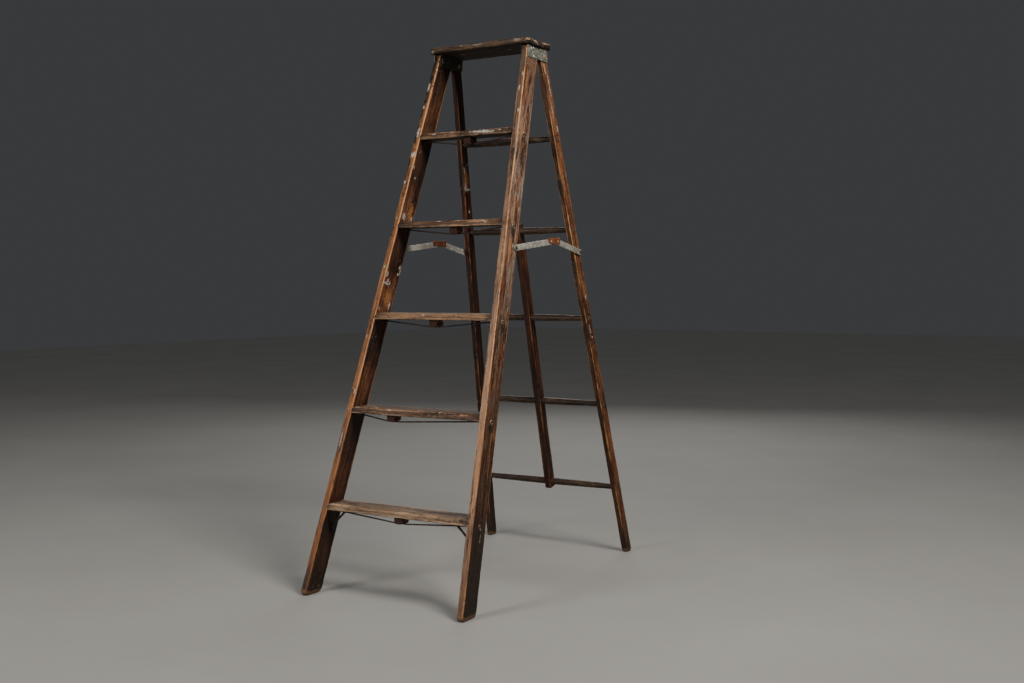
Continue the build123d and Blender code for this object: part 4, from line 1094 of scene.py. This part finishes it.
# darker copy of the zinc sheet for the inner plates: painted shade, as they lie in the cap's shade, with more
# soil
ZINC_SHADED = metal(
    "zinc_sheet_shaded", (rgb(38, 36, 28), rgb(62, 57, 44), rgb(88, 82, 64)), rust=0.2,
    rust_tones=(rgb(66, 44, 28), rgb(112, 74, 44)), spangle=0.1, rough=0.58, soil=0.55)
ZINC_BAR = metal(
    "zinc_bar", (rgb(140, 136, 126), rgb(186, 181, 170), rgb(222, 218, 208)), rust=0.12,
    rust_tones=(rgb(110, 76, 50), rgb(160, 120, 84)), spangle=0.05, shine=0.35, rough=0.42, soil=0.3,
    brush=(60, 16, 640))
STEEL = metal(
    "aged_steel", (rgb(56, 46, 38), rgb(88, 70, 56), rgb(136, 118, 100)), rust=0.42,
    rust_tones=(rgb(58, 34, 22), rgb(122, 72, 42)), shine=0.5, rough=0.46)
WASHER = metal(
    "pale_washer", (rgb(112, 96, 78), rgb(158, 142, 120), rgb(196, 184, 164)), rust=0.16,
    rust_tones=(rgb(90, 58, 38), rgb(150, 106, 70)), soil=0.2)
NAIL = metal(
    "plate_nail", (rgb(40, 27, 20), rgb(74, 50, 36), rgb(120, 90, 66)), rust=0.3,
    rust_tones=(rgb(46, 24, 14), rgb(110, 60, 32)), soil=0.0, scale=0.8)
PAINTED = metal(
    "painted_nail", (rgb(196, 190, 178), rgb(222, 218, 208), rgb(236, 232, 224)), shine=0.0, rough=0.6,
    soil=0.0)
RIVET = metal(
    "clip_rivet", (rgb(120, 90, 64), rgb(176, 140, 104), rgb(214, 190, 160)), rust=0.15,
    rust_tones=(rgb(90, 50, 28), rgb(160, 96, 54)), rough=0.46, soil=0.0)
RUSTY = metal(
    "rusty_clip", (rgb(72, 44, 28), rgb(118, 72, 44), rgb(176, 124, 84)), rust=0.62,
    rust_tones=(rgb(50, 23, 12), rgb(158, 80, 38)), shine=0.25, rough=0.58, soil=0.45)


def keep(obj, body, slot, *nodes):
    """Puts a piece on the body it rides on and hides the CAD nodes that it replaces; slot is not used."""
    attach(obj, body)
    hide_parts(*nodes)
    return obj


# ---------------------------------------------------------------- front frame, wood
for side, name, seed in ((1, "right", 11), (-1, "left", 23)):
    def place(s, v, n, side=side):
        return np.stack([side * (HALF_F - TAPER_F * s - n), s * SF + v * CF - Y_MID, s * CF - v * SF], 1)

    def low(v, n):
        toe = 10.0 * np.clip(1 - v / 15.0, 0, 1) ** 2 + 3.5 * np.clip(1 - (STILE_DEEP - v) / 12.0, 0, 1) ** 2
        return v * SF / CF + toe + 2.5 * np.clip(1 - np.minimum(n, STILE_THICK - n) / 5.0, 0, 1) ** 2

    def high(v, n):
        return (CAP_UNDER + v * SF) / CF
    skin = board(f"worn_stile_{name}", place, STILE_DEEP, STILE_THICK, low, high,
                 Wear(seed, arris=(3.6, 1.8, 1.6, 3.2), rough=0.5, chips=16, chip_depth=3.0, end_round=2.6,
                      dents=26),
                 [SKINS[f"stile_{name}"], DARK_END], step=7.0, tone_seed=seed)
    keep(skin, "front_frame", "stile_wood", f"stile_{name}")

UNDER = [(TREAD_FIRST + TREAD_PITCH * k) * CF - TREAD_THICK / 2 for k in range(TREADS)]
TREAD_WEAR = (dict(arris=(4.6, 1.4, 1.6, 10.5), rough=1.0, chips=17, chip_depth=5.5),
              dict(arris=(3.4, 1.4, 1.6, 7.0), rough=0.8, chips=14, chip_depth=3.8),
              dict(arris=(3.4, 1.4, 1.6, 7.5), rough=0.7, chips=12, chip_depth=3.2),
              dict(arris=(3.2, 1.4, 1.6, 6.5), rough=0.7, chips=11, chip_depth=3.0),
              dict(arris=(3.8, 1.4, 1.8, 7.5), rough=0.9, chips=15, chip_depth=4.0))
for k in range(TREADS):
    z0 = UNDER[k]

    def place(s, v, n, z0=z0):
        return np.stack([s + 0 * v, at_depth(v, z0 + n), z0 + n], 1)

    def reach(v, n, z0=z0):
        return front_half(at_depth(v, z0 + n), z0 + n) - (STILE_THICK - DADO)

    def dish(d, v, low, half=float(reach(35, 11))):
        """Feet have hollowed the top, most of all near the front."""
        across = np.exp(-((d - half) / (0.62 * half)) ** 2)
        return (1 - low) * 1.5 * across * np.exp(-((v - 14) / 26) ** 2)
    skin = board(f"worn_tread_{k + 1}", place, STILE_DEEP, TREAD_THICK,
                 lambda v, n, reach=reach: -reach(v, n), reach,
                 Wear(40 + 7 * k, end_round=0.4, dents=22, dish=dish, **TREAD_WEAR[k]),
                 [SKINS[f"tread_{k + 1}"], DARK_END], step=6.0, tone_seed=3 + k)
    keep(skin, "front_frame", "tread_wood", f"tread_{k + 1}")

for k in range(TREADS):
    z = UNDER[k] - BLOCK_Z
    y = at_depth(ROD_V, UNDER[k] - ROD_DROP)

    def place(s, v, n, x=BLOCK_OFFSETS[k] - BLOCK_X / 2, y=y - BLOCK_Y / 2, z=z):
        return np.stack([x + v, y + s, z + n], 1)
    skin = board(f"worn_truss_block_{k + 1}", place, BLOCK_X, BLOCK_Z, lambda v, n: 0 * v,
                 lambda v, n: BLOCK_Y + 0 * v,
                 Wear(90 + k, arris=(8.4, 8.0, 1.0, 1.0), rough=0.35, chips=2, chip_depth=1.2, end_round=1.0,
                      dents=2), [SKINS["block"], BLOCK_END], step=4.0, tone_seed=30 + k)
    keep(skin, "front_frame", "block_wood", f"truss_block_{k + 1}")


def cap_place(s, v, n):
    """s along the cap from its middle, v behind its front edge, n above its underside."""
    return np.stack([s, CAP_FRONT + v, CAP_UNDER + n], 1)


CAP_DEEP = CAP_REAR - CAP_FRONT


def cap_corner(v):
    """How far the plan's rounded corners draw the ends in."""
    near = np.minimum(v, CAP_DEEP - v)
    t = np.clip(1 - near / 12.0, 0, 1)
    return 12.0 * (1 - np.sqrt(1 - t * t))


def cap_reach(v, n, seed, chip):
    """How far from the middle the cap's worn end lies; chip is the depth of what has split off."""
    worn = 1.6 * (0.5 + 0.5 * fractal(v / 16, n / 9, seed)) + 0.9 * (1 + noise2(v / 4, n / 3, seed + 1))
    split = chip * smooth(0.25, 0.75, 0.5 + 0.5 * noise2(v / 22, n / 11, seed + 5))
    return CAP_HALF - cap_corner(v) - worn - split


skin = board("worn_cap", cap_place, CAP_DEEP, CAP_THICK, lambda v, n: -cap_reach(v, n, 61, 2.5),
             lambda v, n: cap_reach(v, n, 71, 5.0),
             Wear(77, arris=(7.0, 3.0, 4.6, 5.6), rough=0.8, chips=22, chip_depth=4.0, end_round=2.4,
                  dents=40),
             [SKINS["cap"], RAGGED_END], step=5.0, cuts=(22, 4), tone_seed=17)
keep(skin, "front_frame", "cap_wood", "top_cap")

# ---------------------------------------------------------------- front frame, iron
N_F = Vector((1, TAPER_F * SF, TAPER_F * CF)).normalized()
UP_F = Vector((0, SF, CF))


def flip(v, side):
    """The same vector on the given side of the ladder."""
    return Vector((side * v[0], v[1], v[2]))


def stile_face(side, y, z, inset=0.0, outward=True):
    """Matrix on a stile's face at y, z: local z points away from the wood, y up the slope."""
    normal = flip(N_F, side) * (1 if outward else -1)
    return basis((side * (front_half(y, z) - inset), y, z), normal, UP_F)


for k in range(TREADS):
    z, z_low = UNDER[k] - ROD_DROP, UNDER[k] - BLOCK_Z
    y, mid = at_depth(ROD_V, z), BLOCK_OFFSETS[k]
    outer = front_half(y, z)
    ends = (outer - STILE_THICK - 4, outer + 1.5)
    run = [(ends[1], y, z), (ends[0], y, z), (mid + 21, y, z_low), (mid - 21, y, z_low),
           (-ends[0], y, z), (-ends[1], y, z)]
    made = Builder()
    made.tube(run, ROD_R - 0.02, 40.0, 200 + k, 0.35)
    for side in (1, -1):
        made.dome(basis((side * (outer + 1.45), y, z), (side, 0, 0), (0, 0, 1)), 4.05, 1.75, 1.5, 1,
                  5 * k + side)
    keep(made.finish(f"aged_tie_rod_{k + 1}", IRON), "front_frame", "dark_iron", f"tie_rod_{k + 1}")

made = Builder()
for k in range(TREADS):
    z = UNDER[k] - ROD_DROP
    y = at_depth(ROD_V, z)
    for side in (1, -1):
        made.washer(stile_face(side, y, z, 0.1), 6.7, 2.6, 1.25, 9 * k + side)
keep(made.finish("aged_tie_rod_washers", WASHER), "front_frame", "dark_iron", "tie_rod_washers")

brace_y = at_depth(STILE_DEEP / 2, UNDER[0] - 27.5)
foot_z = UNDER[0] - 55.0
rivets = Builder()
for side, name in ((1, "right"), (-1, "left")):
    def inner(z):
        return front_half(brace_y, z) - STILE_THICK
    top_x = inner(UNDER[0]) - 52.0
    made = Builder()
    z_top = UNDER[0] - 1.55
    path = [(inner(foot_z - 17.6) - 1.6, foot_z - 17.6), (inner(foot_z - 4) - 1.6, foot_z - 4),
            (inner(foot_z + 4) - 3.6, foot_z + 5), (top_x + 3, UNDER[0] - 4.2), (top_x - 5, z_top),
            (top_x - 17.6, z_top)]
    made.strap([(side * x, brace_y, z) for x, z in path],
               [(11.8, 2.8), (11.8, 2.8), (7.4, 6.4), (7.4, 6.4), (11.8, 2.9), (11.8, 2.9)])
    keep(made.finish(f"aged_tread_brace_{name}", IRON), "front_frame", "dark_iron", f"tread_brace_{name}")
    rivets.dome(basis((side * (top_x - 10), brace_y, UNDER[0] - 3.0), (0, 0, -1), (0, 1, 0)), 4.2, 1.75, 2,
                2, 31 + side)
    m = stile_face(side, brace_y, foot_z - 9, STILE_THICK + 3.0, outward=False)
    rivets.dome(m, 4.2, 1.75, 2, 2, 41 + side)
keep(rivets.finish("aged_brace_rivets", IRON), "front_frame", "dark_iron", "brace_rivets")

# ---------------------------------------------------------------- hinge plates
PLATE_T, PLATE = 2.0, (555.5 - Y_MID, 682.5 - Y_MID, 1660.0, CAP_UNDER - 0.4)
PIVOT = rear_point(1, LEG_PIVOT_S, LEG_DEEP / 2)
NAILS_OUT = ((562, 1692), (577, 1689), (592, 1693), (608, 1690), (622, 1693),
             (561, 1668), (575, 1672), (590, 1666), (606, 1670))
NAILS_IN = ((590, 1690), (606, 1692), (592, 1668), (608, 1672))
nails, bolts = Builder(), Builder()
for side, name in ((1, "right"), (-1, "left")):
    for where, inset, out, finish in (("outer", 0.0, True, ZINC), ("inner", STILE_THICK, False, ZINC_SHADED)):
        y_mid, z_mid = (PLATE[0] + PLATE[1]) / 2, (PLATE[2] + PLATE[3]) / 2
        m = stile_face(side, y_mid, z_mid, inset, out)
        flat = m.inverted()
        rng = np.random.default_rng(300 + 2 * side + out)
        outline = []
        corner = [(PLATE[0], PLATE[2]), (PLATE[1], PLATE[2]), (PLATE[1], PLATE[3]), (PLATE[0], PLATE[3])]
        for i, (y, z) in enumerate(corner):
            y2, z2 = corner[(i + 1) % 4]
            for t in np.linspace(0.03, 0.97, 12):
                pull = 0.35 * rng.random()
                yy, zz = y + (y2 - y) * t, z + (z2 - z) * t
                yy -= pull * np.sign(yy - y_mid) * (i % 2)
                zz -= pull * np.sign(zz - z_mid) * (i % 2 == 0)
                p = flat @ Vector((side * (front_half(yy, zz) - inset), yy, zz))
                outline.append((p.x, p.y))
        obj = sheet_metal(f"aged_hinge_plate_{where}_{name}", outline, PLATE_T, m, finish, bevel=0.35,
                          warp=0.22, seed=310 + side + 5 * out, step=5.0)
        keep(obj, "front_frame", "galvanised_sheet", f"hinge_plate_{where}_{name}")
    for spots, inset, out in ((NAILS_OUT, -PLATE_T, True), (NAILS_IN, STILE_THICK + PLATE_T, False)):
        for i, (y, z) in enumerate(spots):
            nails.mark(1 if out and i in (1, 2, 7) else 0)
            nails.dome(stile_face(side, y - Y_MID, z, inset, out), 2.95, 1.0, 1.2, 2.0, 400 + i + 30 * side,
                       0.12)
    m = stile_face(side, 570 - Y_MID, 1680, STILE_THICK + PLATE_T, outward=False)
    bolts.mark(0)
    bolts.washer(m, 8.4, 3.3, 1.6, 500 + side)
    bolts.mark(1)
    hexagon = Matrix.Translation((0, 0, 1.6))
    bolts.nut(m @ hexagon, 5.9, 3.0)
    bolts.dome(m, 3.4, 4.7, 3.4, 3.0, 510 + side)
    made = Builder()
    made.dome(stile_face(side, PIVOT[1], PIVOT[2], -PLATE_T), 7.4, 2.95, 3.9, 13, 520 + side, 0.04)
    made.dome(stile_face(side, PIVOT[1], PIVOT[2], STILE_THICK + PLATE_T, False), 6.9, 2.55, 3.9, 13.2,
              530 + side, 0.04)
    keep(made.finish(f"aged_hinge_pin_{name}", RIVET), "front_frame", "aged_steel", f"hinge_pin_{name}")
keep(nails.finish("aged_plate_nails", NAIL, PAINTED), "front_frame", "aged_steel", "plate_nails")
keep(bolts.finish("aged_hinge_bolts", ZINC_BAR, IRON, sharp=30), "front_frame", "aged_steel", "hinge_bolts")

made = Builder()
for side in (1, -1):
    for y in (586, 612):
        x = front_half(590 - Y_MID, CAP_UNDER) - STILE_THICK / 2
        made.dome(basis((side * x, y - Y_MID, CAP_UNDER + CAP_THICK - 1.2), (0, 0, 1), (0, 1, 0)), 2.9, 1.1,
                  1.4, 4,
                  600 + y + side)
keep(made.finish("aged_cap_nails", IRON), "front_frame", "dark_iron", "cap_nails")

# ---------------------------------------------------------------- rear frame
for side, name, seed in ((1, "right", 131), (-1, "left", 143)):
    def place(s, v, n, side=side):
        return np.stack([side * (HALF_R - TAPER_R * s - n), Y_MID - s * SR - v * CR, s * CR - v * SR], 1)

    def low(v, n):
        toe = 6.0 * np.clip(1 - v / 10.0, 0, 1) ** 2 + 2.5 * np.clip(1 - (LEG_DEEP - v) / 8.0, 0, 1) ** 2
        return v * SR / CR + toe + 2.0 * np.clip(1 - np.minimum(n, LEG_THICK - n) / 4.0, 0, 1) ** 2

    def high(v, n):
        half = LEG_DEEP / 2
        return LEG_PIVOT_S + np.sqrt(np.clip(half ** 2 - (v - half) ** 2, 0, None)) - 0.3
    skin = board(f"worn_leg_{name}", place, LEG_DEEP, LEG_THICK, low, high,
                 Wear(seed, arris=(2.2, 2.0, 1.8, 2.0), rough=0.45, chips=12, chip_depth=1.8, end_round=1.8,
                      dents=20),
                 [SKINS[f"leg_{name}"], DARK_END], step=7.0, tone_seed=seed)
    keep(skin, "rear_frame", "rear_wood", f"rear_leg_{name}")

for k in range(RUNGS):
    s_mid = RUNG_FIRST + RUNG_PITCH * k
    axis = rear_point(1, s_mid, LEG_DEEP / 2)
    inner = axis[0] - LEG_THICK

    def radius(x, a, k=k, inner=inner):
        t = abs(x) / inner
        r = np.interp(t, [0, 0.45, 1.0, 1.5], [RUNG_MID_R, RUNG_MID_R - 0.6, RUNG_END_R, RUNG_END_R])
        if t > 1:
            return np.full(len(a), r - 0.05)
        ragged = 0.22 * (1 + fractal(x / 45, a * 0.9 + 7 * k, 700 + k)) + 0.10 * (1 + noise2(x / 11, a * 2,
                                                                                             710 + k))
        facet = 0.16 * (1 + np.cos(7 * a + 0.8 * noise2(x / 70, 0 * a, 720 + k)))
        return r - ragged - facet

    def centre(x, axis=axis, inner=inner, k=k):
        bow = 0.12 * float(noise2(x / 90, 0, 730 + k)) * max(0.0, 1 - (abs(x) / inner) ** 2)
        return axis[1] + bow, axis[2] + bow

    def end_half(y, z):
        """Outer half width of the legs at y, z."""
        return HALF_R - TAPER_R * ((Y_MID - y) * SR + z * CR) - 0.05
    skin = rod(f"worn_rung_{k + 1}", centre, radius, end_half, [SKINS["rung"], DARK_END], 740 + k, inner)
    keep(skin, "rear_frame", "rung_wood", f"rung_{k + 1}")


def centre_place(s, v, n):
    """Its rear face lies 3 mm forward of the legs'."""
    return np.stack([n - CENTRE_W / 2, Y_MID - s * SR - (v + 3) * CR, s * CR - (v + 3) * SR], 1)


skin = board("worn_centre_stile", centre_place, CENTRE_DEEP, CENTRE_W, lambda v, n: CENTRE_LOW + 0 * v,
             lambda v, n: CENTRE_TOP + 0 * v,
             Wear(171, arris=(1.8, 1.8, 1.6, 1.6), rough=0.4, chips=8, chip_depth=1.4, end_round=1.6,
                  dents=10),
             [SKINS["centre"], DARK_END], step=8.0, tone_seed=171)
keep(skin, "rear_frame", "rear_wood", "centre_stile")

# ---------------------------------------------------------------- spreaders
stile_pin, leg_pin = front_point(1, *STILE_PIVOT), rear_point(1, *LEG_PIVOT)
CLIP_GAP, CLIP_WALL, CLIP_FRONT, CLIP_BACK, CLIP_HIGH = 0.2, 1.5, -18.0, 58.0, 12.0
CLIP_IN, CLIP_OUT = BAR_X - CLIP_GAP - CLIP_WALL, BAR_X + BAR_T + CLIP_GAP + CLIP_WALL
bar_out = BAR_X + BAR_T


def bar_outline(length, seed):
    """Round-ended bar with slightly uneven long edges."""
    half, arc = BAR_W / 2 - 0.02, 13
    pts = [(length + half * sin(a), -half * cos(a)) for a in np.linspace(0, pi, arc)]
    pts += [(-half * sin(a), half * cos(a)) for a in np.linspace(0, pi, arc)]
    rng = np.random.default_rng(seed)
    run = []
    for i, (x, y) in enumerate(pts):
        run.append((x, y))
        if i % arc == arc - 1:
            nx = pts[(i + 1) % len(pts)][0]
            for t in np.linspace(0, 1, 26)[1:-1]:
                run.append((x + (nx - x) * t, y - np.sign(y) * 0.3 * rng.random()))
    return run


tails = Builder()
for side, name in ((1, "right"), (-1, "left")):
    def frame_at(y, z, y2, z2, x, side=side):
        """Matrix at y, z and x mm out, its local x towards y2, z2."""
        along = Vector((0, y2 - y, z2 - z)).normalized()
        up = Vector((0, -along.z, along.y))
        # local x along the bar, y up, z to the outside
        m = Matrix((along, up, Vector((side, 0, 0)))).transposed().to_4x4()
        m.translation = Vector((side * x, y, z))
        return m
    for part, (p, q, body, seed) in {
            "front": ((stile_pin[1], stile_pin[2]), KNEE_F, f"front_link_{name}", 801),
            "rear": ((leg_pin[1], leg_pin[2]), KNEE_R, f"rear_link_{name}", 811)}.items():
        length = hypot(q[0] - p[0], q[1] - p[1])
        m = frame_at(*p, *q, BAR_X)
        obj = sheet_metal(f"aged_spreader_{part}_link_{name}", bar_outline(length, seed + side), BAR_T, m,
                          ZINC_BAR,
                          bevel=0.5, warp=0.12, seed=seed + 3 * side, step=7.0)
        keep(obj, body, "galvanised_bar", f"spreader_{part}_link_{name}")
    # the clip: a folded sheet channel over both bars' ends
    m = frame_at(*KNEE_F, *KNEE_R, CLIP_IN)
    made = Builder()
    made.channel(m, CLIP_OUT - CLIP_IN, CLIP_WALL, CLIP_FRONT, CLIP_BACK, CLIP_HIGH, 820 + side)
    keep(made.finish(f"aged_spreader_clip_{name}", RUSTY, sharp=40), f"clip_{name}", "rusty_steel",
         f"spreader_clip_{name}")
    gap = hypot(KNEE_R[0] - KNEE_F[0], KNEE_R[1] - KNEE_F[1])
    made = Builder()
    for at in (0.0, gap):
        p = m @ Vector((at, 0, 0))
        p.x = side * CLIP_OUT
        made.dome(basis(p, (side, 0, 0), (0, 0, 1)), 4.95, 2.15, 2.9, CLIP_OUT - CLIP_IN, 830 + at + side)
        p.x = side * CLIP_IN
        made.dome(basis(p, (-side, 0, 0), (0, 0, 1)), 4.5, 1.15, 2.8, 2.0, 840 + at + side)
    keep(made.finish(f"aged_clip_rivets_{name}", RIVET), f"clip_{name}", "aged_steel", f"clip_rivets_{name}")
    made = Builder()
    made.dome(basis((side * (bar_out + 0.25), leg_pin[1], leg_pin[2]), (side, 0, 0), (0, 0, 1)), 6.4, 2.95,
              2.95,
              bar_out + 0.25 - leg_pin[0] + LEG_THICK, 850 + side, 0.04)
    keep(made.finish(f"aged_spreader_leg_rivet_{name}", STEEL), "rear_frame", "aged_steel",
         f"spreader_leg_rivet_{name}")
    made = Builder()
    made.dome(basis((side * bar_out, stile_pin[1], stile_pin[2]), (side, 0, 0), (0, 0, 1)), 6.4, 2.95, 2.95,
              bar_out - stile_pin[0] - 0.6, 860 + side, 0.04)
    keep(made.finish(f"aged_spreader_stile_rivet_{name}", STEEL), f"front_link_{name}", "aged_steel",
         f"spreader_stile_rivet_{name}")
    tails.dome(stile_face(side, stile_pin[1], stile_pin[2], STILE_THICK, False), 5.4, 1.6, 2.9,
               STILE_THICK - 0.2,
               870 + side, 0.05)
keep(tails.finish("aged_spreader_rivet_tails", IRON), "front_frame", "dark_iron", "spreader_rivet_tails")

# ---------------------------------------------------------------- stage, light, camera
floor_mat = Shader("floor_grey")
spot = floor_mat.noise(floor_mat.node("TexCoord").outputs["Object"], 1.3, 4.0, 0.6)
floor_mat.put(floor_mat.bsdf.inputs["Base Color"],
              floor_mat.ramp(spot, [(0.3, (0.275, 0.268, 0.252, 1)), (0.7, (0.305, 0.298, 0.282, 1))]))
floor_mat.bsdf.inputs["Roughness"].default_value = 0.85
mesh = bpy.data.meshes.new("floor")
mesh.from_pydata([(-14, -9, 0), (14, -9, 0), (14, 22, 0), (-14, 22, 0)], [], [(0, 1, 2, 3)])
mesh.materials.append(floor_mat.mat)
link("floor", mesh)

world = bpy.data.worlds.new("studio")
world.use_nodes = True
sky_light = world.node_tree.nodes["Background"].inputs
sky_light["Color"].default_value, sky_light["Strength"].default_value = (0.80, 0.82, 0.86, 1), 0.06
bpy.context.scene.world = world


def soft_light(name, at, aim, size, power, colour):
    """Soft box of the given size in metres, at one point and aimed at another."""
    light = bpy.data.lights.new(name, "AREA")
    light.shape, light.size, light.size_y = "RECTANGLE", size[0], size[1]
    light.energy, light.color = power, colour
    obj = link(name, light)
    obj.location = at
    obj.rotation_euler = (Vector(aim) - Vector(at)).to_track_quat("-Z", "Y").to_euler()


soft_light("key", (2.3, -0.9, 3.4), (0, 0, 0.7), (1.1, 1.1), 125, (1.0, 0.96, 0.90))
soft_light("front", (-1.2, -4.3, 2.3), (0, 0, 0.8), (1.4, 1.4), 118, (1.0, 0.97, 0.93))
soft_light("back", (-1.6, 4.4, 2.8), (0, 0, 0.9), (2.4, 1.6), 60, (1.0, 0.98, 0.95))

sky = bpy.data.lights.new("overhead", "SUN")
sky.energy, sky.angle, sky.color = 0.3, radians(60), (0.97, 0.98, 1.0)
link("overhead", sky).location = (0, 0, 4)

cam = bpy.data.cameras.new("camera")
cam.sensor_width, cam.lens = 36.0, 42.126
camera = link("camera", cam)
camera.location = (2.1087, -3.28335, 0.9247)
camera.rotation_euler = (radians(90 - 2.484), 0, radians(31.134))
bpy.context.scene.camera = camera
